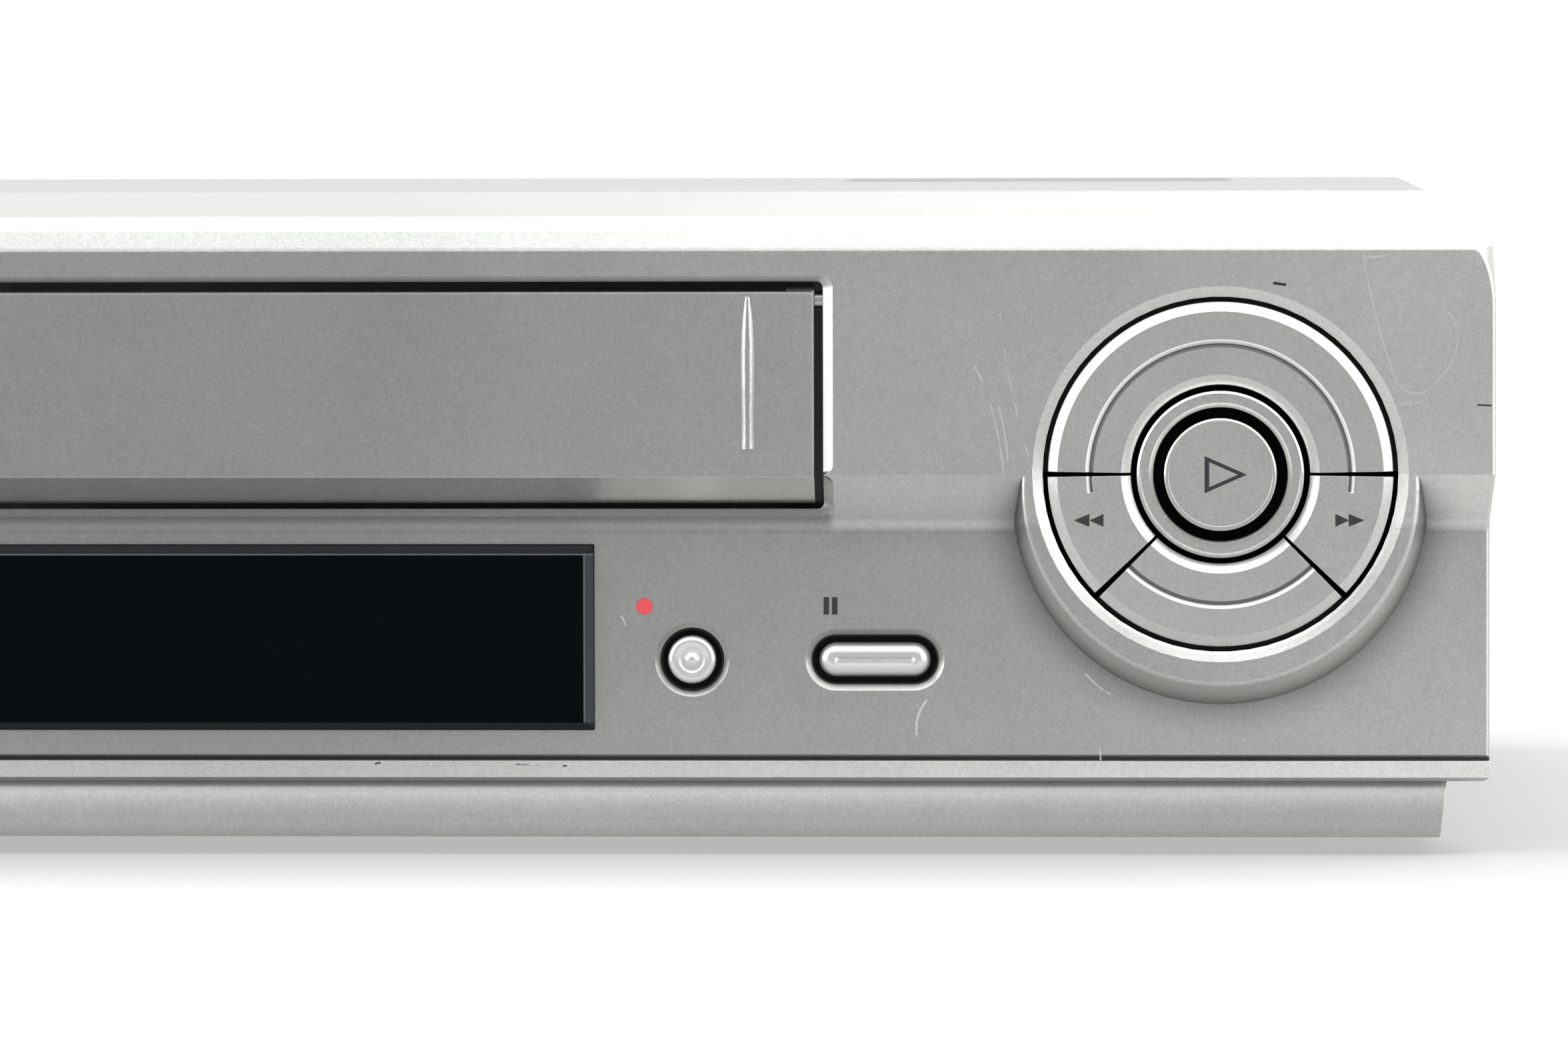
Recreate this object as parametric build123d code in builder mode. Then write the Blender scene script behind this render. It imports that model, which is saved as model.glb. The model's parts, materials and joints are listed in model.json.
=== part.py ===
"""Video cassette recorder: a silver front panel on a steel case, with its tape mechanism inside.

Millimetres, +Z up, -Y is the front. The origin is on the floor, under the middle of the case.
"""
import math
import os

from build123d import *

os.makedirs("parts", exist_ok=True)

# ---- driving dimensions -------------------------------------------------------------------------
panel_width = 360.0
total_height = 94.0
half_depth = 134.0          # from the middle to the play button and to the rear sockets

face_y = -133.0             # upper front face
lower_y = -127.5            # lower front face, under the ledge
panel_back_y = -98.0
wall = 2.2                  # moulded wall thickness
sheet = 1.0                 # sheet steel
panel_bottom_z = 10.6
lip_z = 13.4
lip_groove = 0.45
lip_reach = 1.05            # how far the lip stands out at its foot
ledge_foot_z = 47.1
ledge_z = 54.2
brow_z = 85.9               # top edge of the upper face
shoulder_z = 90.8
panel_taper = 4.7           # each end narrows by this much towards the back

case_half = 173.0
case_front_y = -97.7
case_back_y = 125.5
case_bottom_z = 5.5
foot_height = 4.0

flap_x0, flap_x1 = -116.3, 83.7
flap_z0, flap_z1 = 50.1, 80.2
flap_break_z = 53.9
flap_axis_y, flap_axis_z = -129.6, 79.0
slot_x0, slot_x1 = -117.5, 84.95
slot_z0, slot_z1 = 49.3, 81.6
deck_x = (flap_x0 + flap_x1) / 2

window_x0, window_x1 = -84.7, 52.1
window_z0, window_z1 = 17.9, 44.1

dial_x, dial_z = 141.1, 54.3
boss_r, boss_foot_r = 28.0, 29.6
dial_hole_r = 25.1
ring_r, ring_inner_r = 24.4, 12.65
collar_r, collar_hole_r = 11.8, 9.5
play_r = 7.95
play_dish = 0.08
key_sweep = 43.4            # angle of the rewind and forward keys below the horizontal
key_gap = 0.9               # angle from the horizontal split to each key and to the upper arc
groove_r = 18.5

round_button_r, round_gap_r, round_dish_r = 3.45, 4.2, 5.3
pill_length, pill_height = 15.9, 4.95
pill_gap = 0.8
pill_dish = 1.95
button_travel = 0.9

record_x, pause_x, button_z = 66.1, 92.1, 27.8
stop_x, channel_up_x, channel_down_x = -104.0, -134.0, -154.0
power_x, power_z = -149.0, 68.0

key_board_y = -117.0
switch_tip_y = -120.7

deck_z = 26.0               # underside of the deck plate
deck_top = 27.5
reel_spacing = 92.0
reel_y = -37.0
rail_offset = 99.25         # middle of each carriage rail from the middle of the deck
holder_half = 96.2
drum_r = 31.0
drum_y = 67.0
drum_tilt = 6.0
capstan = (35.7, 33.0)
clutch = (deck_x, -12.0)
cam_centre = (-90.3, 72.0)
gear_module = 0.8
cam_teeth, pinion_teeth = 60, 15
run_fit = 0.05


def front_plane(x, y, z):
    """Plane facing the viewer: sketch x is +X, sketch y is +Z, a positive extrude comes forward."""
    return Plane(origin=(x, y, z), x_dir=(1, 0, 0), z_dir=(0, -1, 0))


def side_plane(x):
    """Plane facing +X: sketch x is +Y, sketch y is +Z."""
    return Plane(origin=(x, 0, 0), x_dir=(0, 1, 0), z_dir=(1, 0, 0))


# ---- case ---------------------------------------------------------------------------------------
# Inverted U of sheet steel with a lip at its back and vent slots in the top and both sides.
vent_length, vent_width = 26.0, 2.6
with BuildPart() as top_cover:
    with BuildSketch(Plane.XZ.offset(-case_front_y)):
        with Locations((0, (case_bottom_z + total_height) / 2)):
            Rectangle(2 * case_half, total_height - case_bottom_z)
    extrude(amount=case_front_y - case_back_y)
    top_edges = top_cover.edges().filter_by(Axis.Y).group_by(Axis.Z)[-1]
    fillet(top_edges, 3.0)
    with BuildSketch(Plane.XZ.offset(-case_front_y + 1)):
        with Locations((0, (total_height - sheet) / 2)):
            RectangleRounded(2 * (case_half - sheet), total_height - sheet, 2.0)
    extrude(amount=case_front_y - case_back_y - 2, mode=Mode.SUBTRACT)
    with BuildSketch(Plane.XZ.offset(-case_front_y + 1)):
        with Locations((0, 0)):
            Rectangle(2 * (case_half - sheet), 30)
    extrude(amount=case_front_y - case_back_y - 2, mode=Mode.SUBTRACT)
    with BuildSketch(Plane.XY.offset(total_height)):
        with Locations((-118, 84), (112, 84)):
            with GridLocations(0, 6.5, 1, 9):
                SlotOverall(vent_length * 2.4, vent_width)
    extrude(amount=-2 * sheet, mode=Mode.SUBTRACT)
    with BuildSketch(Plane.YZ):
        with Locations((78, 52)):
            with GridLocations(6.5, 0, 11, 1):
                SlotOverall(vent_length, vent_width, rotation=90)
    extrude(amount=case_half + 1, both=True, mode=Mode.SUBTRACT)
    with BuildSketch(Plane.YZ):
        with Locations((-60, 13), (100, 13)):
            Circle(1.8)
    extrude(amount=case_half + 1, both=True, mode=Mode.SUBTRACT)
top_cover.part.label = "top_cover"
export_step(top_cover.part, "parts/top_cover.step")

# Shallow tray under everything, with standoff bosses for the boards.
pan_half = case_half - sheet - 0.3
pan_floor_z = foot_height
pan_top_z = pan_floor_z + sheet
with BuildPart() as bottom_pan:
    with BuildSketch(Plane.XY.offset(pan_floor_z)):
        with Locations((0, 3)):
            Rectangle(2 * pan_half, 242)
    extrude(amount=sheet)
    with BuildSketch(Plane.XY.offset(pan_floor_z)):
        with Locations((pan_half - sheet / 2, 13), (-pan_half + sheet / 2, 13)):
            Rectangle(sheet, 220)
    extrude(amount=18)
    with BuildSketch(Plane.XY.offset(pan_floor_z)):
        with Locations((0, 123.5)):
            Rectangle(2 * pan_half, sheet)
    extrude(amount=8)
    with BuildSketch(Plane.XY.offset(pan_top_z)):
        with Locations((-160, 3), (-160, 87), (-134, 3), (-134, 87)):
            Circle(3)
        with Locations((-104, -60), (-104, 80), (72, -60), (72, 80), (160, -80), (160, 110)):
            Circle(3)
    extrude(amount=7)
    with BuildSketch(Plane.XY.offset(pan_floor_z)):
        with Locations((120, 20), (-40, 20)):
            with GridLocations(7, 0, 9, 1):
                SlotOverall(40, 3, rotation=90)
    extrude(amount=sheet, mode=Mode.SUBTRACT)
bottom_pan.part.label = "bottom_pan"
export_step(bottom_pan.part, "parts/bottom_pan.step")

foot_r = 11.0
foot_points = [(sx * 140, y) for sx in (-1, 1) for y in (-78, 96)]
with BuildPart() as feet:
    with BuildSketch(Plane.XY):
        with Locations(*foot_points):
            Circle(foot_r)
    extrude(amount=foot_height)
    chamfer(feet.edges().group_by(Axis.Z)[0], 1.0)
    with BuildSketch(Plane.XY):
        with Locations(*foot_points):
            Circle(2.5)
    extrude(amount=1.5, mode=Mode.SUBTRACT)
feet.part.label = "feet"
export_step(feet.part, "parts/feet.step")

# Plastic skirt under the front panel: bowed front, ends drawn in towards the floor, hollow inside.
skirt_bottom_z, skirt_top_z = 2.6, panel_bottom_z - 0.1
skirt_foot_y, skirt_bow_y, skirt_top_y = -127.4, -127.25, -126.2
skirt_foot_half, skirt_top_half = 172.2, 173.2
skirt_back_y = panel_back_y - 0.2
with BuildPart() as base_skirt:
    with BuildSketch(side_plane(-skirt_top_half)):
        with BuildLine():
            ThreePointArc((skirt_foot_y, skirt_bottom_z), (skirt_bow_y, 6.8), (skirt_top_y, skirt_top_z))
            Polyline(
                (skirt_top_y, skirt_top_z),
                (skirt_back_y, skirt_top_z),
                (skirt_back_y, skirt_bottom_z),
                (skirt_foot_y, skirt_bottom_z),
            )
        make_face()
    extrude(amount=2 * skirt_top_half)
    with BuildSketch(front_plane(0, skirt_back_y, 0)):
        with BuildLine():
            Polyline(
                (-skirt_foot_half, skirt_bottom_z),
                (skirt_foot_half, skirt_bottom_z),
                (skirt_top_half, skirt_top_z),
                (-skirt_top_half, skirt_top_z),
                close=True,
            )
        make_face()
    extrude(amount=40, mode=Mode.INTERSECT)
    with BuildSketch(Plane.XY.offset(skirt_bottom_z)):
        with Locations((0, -110)):
            Rectangle(343.4, 30)
    extrude(amount=skirt_top_z, mode=Mode.SUBTRACT)
base_skirt.part.label = "base_skirt"
export_step(base_skirt.part, "parts/base_skirt.step")

# ---- rear ---------------------------------------------------------------------------------------
rear_y = case_back_y
mains_x, mains_z = -148.0, 34.0
aerial_x = 146.0
aerial_z = (66.0, 42.0)
av_x = 84.0
av_z = (64.0, 36.0)
jack_x = 36.0
jack_z = (66.0, 50.0, 34.0)
with BuildPart() as rear_panel:
    with BuildSketch(Plane.XZ.offset(-rear_y + sheet + 0.4)):
        with Locations((0, 52)):
            Rectangle(2 * (case_half - sheet - 0.3), 79)
    extrude(amount=-sheet)
    with BuildSketch(Plane.XZ.offset(-rear_y + sheet + 2)):
        with Locations((mains_x, mains_z)):
            Rectangle(26.2, 18.2)
        with Locations(*[(aerial_x, z) for z in aerial_z]):
            Circle(6.6)
        with Locations(*[(av_x, z) for z in av_z]):
            Rectangle(50.2, 16.2)
        with Locations(*[(jack_x, z) for z in jack_z]):
            Circle(5.4)
    extrude(amount=-6, mode=Mode.SUBTRACT)
    with BuildSketch(Plane.XZ.offset(-rear_y + sheet + 2)):
        with Locations((-70, 50)):
            with GridLocations(6, 0, 13, 1):
                SlotOverall(30, 2.6, rotation=90)
    extrude(amount=-6, mode=Mode.SUBTRACT)
rear_panel.part.label = "rear_panel"
export_step(rear_panel.part, "parts/rear_panel.step")

rear_out_y = rear_y - 0.4   # outer face of the rear panel
# Cross-head screws along the rear panel's top edge and through the cover's sides.
side_screws = [Plane(origin=(sx * case_half, y, 13), z_dir=(sx, 0, 0)) for sx in (-1, 1) for y in (-60, 100)]
rear_screws = [Plane(origin=(x, rear_out_y, 86), z_dir=(0, 1, 0)) for x in (-165, -115, -10, 20, 120, 166)]
with BuildPart() as case_screws:
    for head in side_screws + rear_screws:
        with BuildSketch(head):
            Circle(3.4)
        extrude(amount=1.5)
        with BuildSketch(head.offset(1.5)):
            Rectangle(4.0, 0.9)
            Rectangle(0.9, 4.0)
        extrude(amount=-0.9, mode=Mode.SUBTRACT)
case_screws.part.label = "case_screws"
export_step(case_screws.part, "parts/case_screws.step")

# Two-pin mains inlet: a housing with a flange, an oblong recess and two contact pins.
with BuildPart() as mains_inlet:
    with BuildSketch(front_plane(mains_x, rear_out_y - 18, mains_z)):
        Rectangle(26, 18)
    extrude(amount=-19.5)
    with BuildSketch(front_plane(mains_x, rear_out_y, mains_z)):
        RectangleRounded(32, 22, 2)
    extrude(amount=-2.0)
    with BuildSketch(front_plane(mains_x, rear_out_y + 2.1, mains_z)):
        SlotOverall(17, 9)
    extrude(amount=14, mode=Mode.SUBTRACT)
    with BuildSketch(front_plane(mains_x, rear_out_y - 12, mains_z)):
        with Locations((-4.3, 0), (4.3, 0)):
            Circle(1.2)
    extrude(amount=-10)
mains_inlet.part.label = "mains_inlet"
export_step(mains_inlet.part, "parts/mains_inlet.step")

# Screened tuner box with two coaxial sockets through the rear panel.
tuner_front_y = 66.0
with BuildPart() as tuner:
    with BuildSketch(Plane.XY.offset(20)):
        with Locations((aerial_x, (tuner_front_y + 122) / 2)):
            Rectangle(24, 122 - tuner_front_y)
    extrude(amount=58)
    with BuildSketch(front_plane(aerial_x, 122, 0)):
        with Locations(*[(0, z) for z in aerial_z]):
            Circle(6.4)
    extrude(amount=-(half_depth - 122 - 1))
    with BuildSketch(front_plane(aerial_x, half_depth - 1, 0)):
        with Locations(*[(0, z) for z in aerial_z]):
            Circle(4.8)
    extrude(amount=9, mode=Mode.SUBTRACT)
    with BuildSketch(front_plane(aerial_x, half_depth - 10, 0)):
        with Locations(*[(0, z) for z in aerial_z]):
            Circle(1.2)
    extrude(amount=-7.5)
tuner.part.label = "tuner"
export_step(tuner.part, "parts/tuner.step")

# Two 21-contact audio and video sockets with slanted side walls.
with BuildPart() as av_sockets:
    for z in av_z:
        with BuildSketch(front_plane(av_x, rear_out_y - 14, z)):
            Rectangle(50, 16)
        extrude(amount=-17.5)
        with BuildSketch(front_plane(av_x, rear_out_y + 3.6, z)):
            with BuildLine():
                Polyline((-23, 6), (23, 6), (23, -2), (18, -6), (-23, -6), close=True)
            make_face()
        extrude(amount=9, mode=Mode.SUBTRACT)
        with BuildSketch(front_plane(av_x, rear_out_y - 6, z)):
            Rectangle(40, 4.4)
        extrude(amount=-8)
av_sockets.part.label = "av_sockets"
export_step(av_sockets.part, "parts/av_sockets.step")

jack_r, jack_length = 4.15, 8.0
with BuildPart() as phono_jacks:
    with BuildSketch(front_plane(jack_x, rear_out_y - 12, 0)):
        with Locations((0, 50)):
            Rectangle(12, 46)
    extrude(amount=-12 + 1.4)
    with BuildSketch(front_plane(jack_x, rear_out_y - 2, 0)):
        with Locations(*[(0, z) for z in jack_z]):
            Circle(5.2)
    extrude(amount=-(half_depth - jack_length - rear_out_y + 2))
    with BuildSketch(front_plane(jack_x, half_depth - jack_length, 0)):
        with Locations(*[(0, z) for z in jack_z]):
            Circle(jack_r)
    extrude(amount=-jack_length)
    with BuildSketch(front_plane(jack_x, half_depth, 0)):
        with Locations(*[(0, z) for z in jack_z]):
            Circle(1.7)
    extrude(amount=7, mode=Mode.SUBTRACT)
phono_jacks.part.label = "phono_jacks"
export_step(phono_jacks.part, "parts/phono_jacks.step")


# ---- front panel --------------------------------------------------------------------------------
def panel_body(back_y, inset):
    """Body of the panel: its side outline, cut to a plan that narrows towards the back."""
    top_slope = (total_height - shoulder_z) / (panel_back_y + 129.6)
    with BuildPart() as body:
        with BuildSketch(side_plane(-190)):
            with BuildLine():
                Polyline(
                    (back_y, shoulder_z + top_slope * (back_y + 129.6)),
                    (-129.6, shoulder_z),
                    (-131.9, 88.8),
                    (face_y, brow_z),
                    (face_y, ledge_z),
                    (lower_y, ledge_foot_z),
                    (lower_y, lip_z + 0.9),
                    (lower_y + lip_groove, lip_z + 0.3),
                    (lower_y - 0.1, lip_z),
                    (lower_y - lip_reach, panel_bottom_z + 0.5),
                    (lower_y - lip_reach + 0.5, panel_bottom_z),
                    (back_y, panel_bottom_z),
                    close=True,
                )
            make_face()
            if inset:
                offset(amount=-inset, kind=Kind.INTERSECTION, mode=Mode.REPLACE)
        extrude(amount=380)
        back_half = panel_width / 2 - panel_taper * (back_y - face_y) / (panel_back_y - face_y)
        with BuildSketch(Plane.XY):
            with BuildLine():
                Polyline(
                    (-panel_width / 2, face_y),
                    (panel_width / 2, face_y),
                    (back_half, back_y),
                    (-back_half, back_y),
                    close=True,
                )
            make_face()
            if inset:
                offset(amount=-inset, kind=Kind.INTERSECTION, mode=Mode.REPLACE)
        extrude(amount=100, mode=Mode.INTERSECT)
    return body.part


ledge_slope = Plane(
    origin=(0, face_y, ledge_z),
    x_dir=(1, 0, 0),
    z_dir=(0, ledge_foot_z - ledge_z, face_y - lower_y),
)
bevel_bottom, bevel_top = 48.2, 82.5
bevel_x0, bevel_x1 = slot_x0 - 1.45, slot_x1 + 1.45
bevel_depth = 0.85
slot_corner_r, bevel_corner_r = 0.9, 1.7
slope_stretch = math.hypot(1.0, (lower_y - face_y) / (ledge_z - ledge_foot_z))
slope_foot = slope_stretch * (ledge_z - bevel_bottom)
slope_inner = slope_stretch * (ledge_z - slot_z0)
back_of_lower = lower_y + wall
boss_back_y = -124.6
small_buttons = [
    (record_x, button_z),
    (channel_up_x, button_z),
    (channel_down_x, button_z),
]
pill_buttons = [(pause_x, button_z), (stop_x, button_z)]

with BuildPart() as front_panel:
    add(panel_body(panel_back_y, 0))
    outer_corners = front_panel.edges().filter_by(lambda e: abs(e.center().X) > 175 and e.center().Z > 85)
    fillet(outer_corners.filter_by(lambda e: e.center().Y > -132.9), 3.0)
    fillet(front_panel.edges().filter_by(Axis.X).filter_by(
        lambda e: abs(e.center().Y - lower_y) < 0.01 and abs(e.center().Z - ledge_foot_z) < 0.01), 3.0)
    lip_corners = front_panel.edges().filter_by(lambda e: abs(e.center().X) > 175 and e.center().Z < lip_z)
    fillet(lip_corners.filter_by(Axis.Y) + lip_corners.filter_by(lambda e: e.center().Y > lower_y + 5), 1.4)
    fillet(front_panel.edges().filter_by(Axis.Z).filter_by(lambda e: e.center().Y < lower_y + 0.1), 0.6)
    add(panel_body(panel_back_y + 8, wall), mode=Mode.SUBTRACT)
    # Boss around the dial: flush with the upper face, sloping down to the lower face.
    with BuildSketch(front_plane(dial_x, face_y, dial_z - 1.9)):
        Circle(boss_r)
    with BuildSketch(front_plane(dial_x, lower_y + 0.3, dial_z - 3.4)):
        Circle(boss_foot_r)
    loft()
    fillet(front_panel.edges().filter_by(GeomType.CIRCLE).filter_by(
        lambda e: abs(e.radius - boss_r) < 0.01 and abs(e.center().Y - face_y) < 0.01), 0.8)
    with BuildSketch(front_plane(dial_x, boss_back_y, dial_z)):
        Circle(dial_hole_r + 2.4)
    extrude(amount=abs(face_y - boss_back_y) - 0.5)
    with BuildSketch(front_plane(dial_x, face_y - 0.01, dial_z)):
        Circle(dial_hole_r + 1.5)
    with BuildSketch(front_plane(dial_x, face_y + 0.7, dial_z)):
        Circle(dial_hole_r)
    loft(mode=Mode.SUBTRACT)
    with BuildSketch(front_plane(dial_x, -120, dial_z)):
        Circle(dial_hole_r)
    extrude(amount=20, mode=Mode.SUBTRACT)
    # Cassette opening with a bevelled frame that folds over the ledge.
    with BuildSketch(front_plane(0, face_y - 0.01, 0)):
        with Locations(((bevel_x0 + bevel_x1) / 2, (ledge_z + bevel_top) / 2)):
            bevel_edge = Rectangle(bevel_x1 - bevel_x0, bevel_top - ledge_z)
        fillet(bevel_edge.vertices().group_by(Axis.Z)[-1], bevel_corner_r)
    with BuildSketch(front_plane(0, face_y + bevel_depth, 0)):
        with Locations((deck_x + 0.025, (ledge_z + slot_z1) / 2)):
            slot_edge = Rectangle(slot_x1 - slot_x0, slot_z1 - ledge_z)
        fillet(slot_edge.vertices().group_by(Axis.Z)[-1], slot_corner_r)
    loft(mode=Mode.SUBTRACT)
    with BuildSketch(ledge_slope.offset(0.01)):
        with Locations(((bevel_x0 + bevel_x1) / 2, -slope_foot / 2)):
            bevel_edge = Rectangle(bevel_x1 - bevel_x0, slope_foot)
        fillet(bevel_edge.vertices().group_by(Axis.Z)[0], bevel_corner_r)
    with BuildSketch(ledge_slope.offset(-bevel_depth)):
        with Locations(((slot_x0 + slot_x1) / 2, -slope_inner / 2)):
            slot_edge = Rectangle(slot_x1 - slot_x0, slope_inner)
        fillet(slot_edge.vertices().group_by(Axis.Z)[0], slot_corner_r)
    loft(mode=Mode.SUBTRACT)
    with BuildSketch(front_plane(0, -118, 0)):
        with Locations(((slot_x0 + slot_x1) / 2, (slot_z0 + slot_z1) / 2)):
            RectangleRounded(slot_x1 - slot_x0, slot_z1 - slot_z0, slot_corner_r)
    extrude(amount=18, mode=Mode.SUBTRACT)
    # Ears that carry the flap's pins.
    for x in (slot_x0 - 0.7, slot_x1 + 3.4):
        with BuildSketch(side_plane(x)):
            with Locations((flap_axis_y + 0.9, flap_axis_z + 1.5)):
                Rectangle(6, 9)
        extrude(amount=-2.7)
    with BuildSketch(side_plane(-130)):
        with Locations((flap_axis_y, flap_axis_z)):
            Circle(1.2 + run_fit)
    extrude(amount=230, mode=Mode.SUBTRACT)
    # Window opening and the dished holes of the buttons.
    with BuildSketch(front_plane(0, -120, 0)):
        with Locations(((window_x0 + window_x1) / 2, (window_z0 + window_z1) / 2)):
            Rectangle(window_x1 - window_x0 + 0.2, window_z1 - window_z0 + 0.2)
    extrude(amount=10, mode=Mode.SUBTRACT)
    for x, z in small_buttons + [(power_x, power_z)]:
        front = face_y if z == power_z else lower_y
        with BuildSketch(front_plane(x, front - 0.01, z)):
            Circle(round_dish_r)
        with BuildSketch(front_plane(x, front + 0.8, z)):
            Circle(round_gap_r)
        loft(mode=Mode.SUBTRACT)
        with BuildSketch(front_plane(x, -120, z)):
            Circle(round_gap_r)
        extrude(amount=15, mode=Mode.SUBTRACT)
    for x, z in pill_buttons:
        with BuildSketch(front_plane(x, lower_y - 0.01, z)):
            SlotOverall(pill_length + 2 * pill_dish, pill_height + 2 * pill_dish)
        with BuildSketch(front_plane(x, lower_y + 0.8, z)):
            SlotOverall(pill_length + 2 * pill_gap, pill_height + 2 * pill_gap)
        loft(mode=Mode.SUBTRACT)
        with BuildSketch(front_plane(x, -120, z)):
            SlotOverall(pill_length + 2 * pill_gap, pill_height + 2 * pill_gap)
        extrude(amount=10, mode=Mode.SUBTRACT)
front_panel.part.label = "front_panel"
export_step(front_panel.part, "parts/front_panel.step")

# Flap: a plate that follows the upper face and the ledge, with pins at its upper corners.
flap_front_y = face_y + 0.5
rib_x = (74.3, 2 * deck_x - 74.3)
rib_sections = [(57.9, 0.8, 0.6), (66.0, 0.86, 0.65), (75.0, 0.76, 0.55), (79.4, 0.3, 0.15)]
with BuildPart() as cassette_flap:
    with BuildSketch(side_plane(flap_x0)):
        with BuildLine():
            Polyline(
                (flap_front_y, flap_z1),
                (flap_front_y, flap_break_z),
                (flap_front_y + 4.4, flap_z0),
                (flap_front_y + 5.8, flap_z0 + 1.2),
                (flap_front_y + 2.0, flap_break_z + 1.0),
                (flap_front_y + 2.0, flap_z1),
                close=True,
            )
        make_face()
    extrude(amount=flap_x1 - flap_x0)
    fillet(cassette_flap.edges().filter_by(Axis.Y).filter_by(lambda e: e.center().Z > flap_z1 - 0.1), 0.6)
    front_edges = cassette_flap.edges().filter_by(lambda e: e.center().Y < flap_front_y + 1.6)
    chamfer(front_edges.filter_by(lambda e: abs(e.center().Z - flap_break_z) > 0.3), 0.25)
    for x in (flap_x0, flap_x1 - 4):
        with BuildSketch(side_plane(x)):
            with Locations((flap_axis_y, flap_axis_z)):
                Circle(2.2)
            with Locations((flap_axis_y - 1, flap_axis_z - 1.2)):
                Rectangle(2.6, 2.0)
        extrude(amount=4)
    with BuildSketch(side_plane(flap_x0 - 4.4)):
        with Locations((flap_axis_y, flap_axis_z)):
            Circle(1.2)
    extrude(amount=flap_x1 - flap_x0 + 8.8)
    with BuildSketch(side_plane(flap_x0 + 4)):
        with Locations((flap_axis_y + 1.5, flap_axis_z)):
            Rectangle(4, 5)
    extrude(amount=flap_x1 - flap_x0 - 8, mode=Mode.SUBTRACT)
    for x in rib_x:
        for z, half, height in rib_sections:
            with BuildSketch(Plane.XY.offset(z)):
                with BuildLine():
                    ThreePointArc(
                        (x - half, flap_front_y + 0.1),
                        (x, flap_front_y - height),
                        (x + half, flap_front_y + 0.1),
                    )
                    Line((x + half, flap_front_y + 0.1), (x - half, flap_front_y + 0.1))
                make_face()
        loft()
cassette_flap.part.label = "cassette_flap"
export_step(cassette_flap.part, "parts/cassette_flap.step")

# Return spring: a closed coil on a post of the slot frame, with one leg reaching forward.
spring_x, spring_y, spring_z = deck_x - 104.2, -113.0, 74.0
spring_r, spring_wire, spring_turns = 2.5, 0.38, 4
with BuildPart() as flap_spring:
    with BuildSketch(Plane.XY.offset(spring_z)):
        with Locations((spring_x, spring_y + spring_r)):
            with GridLocations(2 * spring_wire, 0, spring_turns, 1):
                Circle(spring_wire)
            Rectangle(2 * spring_wire * (spring_turns - 1), spring_wire)
    revolve(axis=Axis((0, spring_y, spring_z), (1, 0, 0)))
    with BuildSketch(front_plane(spring_x + 3 * spring_wire, spring_y + 0.2, spring_z + spring_r)):
        Circle(spring_wire * 0.9)
    extrude(amount=11)
flap_spring.part.label = "flap_spring"
export_step(flap_spring.part, "parts/flap_spring.step")

with BuildPart() as display_window:
    with BuildSketch(front_plane(0, back_of_lower, 0)):
        with Locations(((window_x0 + window_x1) / 2, (window_z0 + window_z1) / 2)):
            Rectangle(window_x1 - window_x0, window_z1 - window_z0)
    extrude(amount=wall + 0.2)
    with BuildSketch(front_plane(0, lower_y - 0.2, 0)):
        with Locations(((window_x0 + window_x1) / 2, (window_z0 + window_z1) / 2)):
            Rectangle(window_x1 - window_x0, window_z1 - window_z0)
    extrude(amount=0.65, taper=60)
display_window.part.label = "display_window"
export_step(display_window.part, "parts/display_window.step")

with BuildPart() as display_module:
    with BuildSketch(front_plane(-16, key_board_y - 0.2, 31)):
        RectangleRounded(100, 20, 1)
    extrude(amount=6)
    with BuildSketch(front_plane(-16, key_board_y - 6.2, 31)):
        RectangleRounded(92, 13, 0.5)
    extrude(amount=-0.8, mode=Mode.SUBTRACT)
    with BuildSketch(front_plane(-16, key_board_y - 5.4, 31)):
        with GridLocations(13, 0, 6, 1):
            Rectangle(6, 9)
            Rectangle(4, 7, mode=Mode.SUBTRACT)
    extrude(amount=0.4)
display_module.part.label = "display_module"
export_step(display_module.part, "parts/display_module.step")

# ---- dial ---------------------------------------------------------------------------------------
ring_face_y = face_y + 0.4
base_plate_y = boss_back_y + 0.1    # front of the plate behind the boss
base_plate = 1.5
step_y = face_y + 2.2
rim_bevel, rim_depth = 1.4, 0.75


def ring_sector(start, sweep, inner, outer):
    """Closed outline of a sector of a ring, angles in degrees from +X."""
    a0, a1 = math.radians(start), math.radians(start + sweep)
    middle = (a0 + a1) / 2
    with BuildSketch(mode=Mode.PRIVATE) as sector:
        with BuildLine():
            outer_arc = [(outer * math.cos(a), outer * math.sin(a)) for a in (a0, middle, a1)]
            inner_arc = [(inner * math.cos(a), inner * math.sin(a)) for a in (a1, middle, a0)]
            ThreePointArc(*outer_arc)
            Line(outer_arc[2], inner_arc[0])
            ThreePointArc(*inner_arc)
            Line(inner_arc[2], outer_arc[0])
        make_face()
    return sector.sketch


def rim_bevels(front_y):
    """Two revolved wedges that bevel the outer and inner rims of the ring."""
    with BuildPart() as wedges:
        with BuildSketch(Plane.XY.offset(dial_z)):
            with BuildLine():
                Polyline(
                    (dial_x + ring_r - rim_bevel, front_y - 0.01),
                    (dial_x + ring_r + 0.05, front_y - 0.01),
                    (dial_x + ring_r + 0.05, front_y + rim_depth),
                    close=True,
                )
            make_face()
            with BuildLine():
                Polyline(
                    (dial_x + ring_inner_r + rim_bevel, front_y - 0.01),
                    (dial_x + ring_inner_r - 0.05, front_y - 0.01),
                    (dial_x + ring_inner_r - 0.05, front_y + rim_depth),
                    close=True,
                )
            make_face()
        revolve(axis=Axis((dial_x, 0, dial_z), (0, 1, 0)))
    return wedges.part


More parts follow.
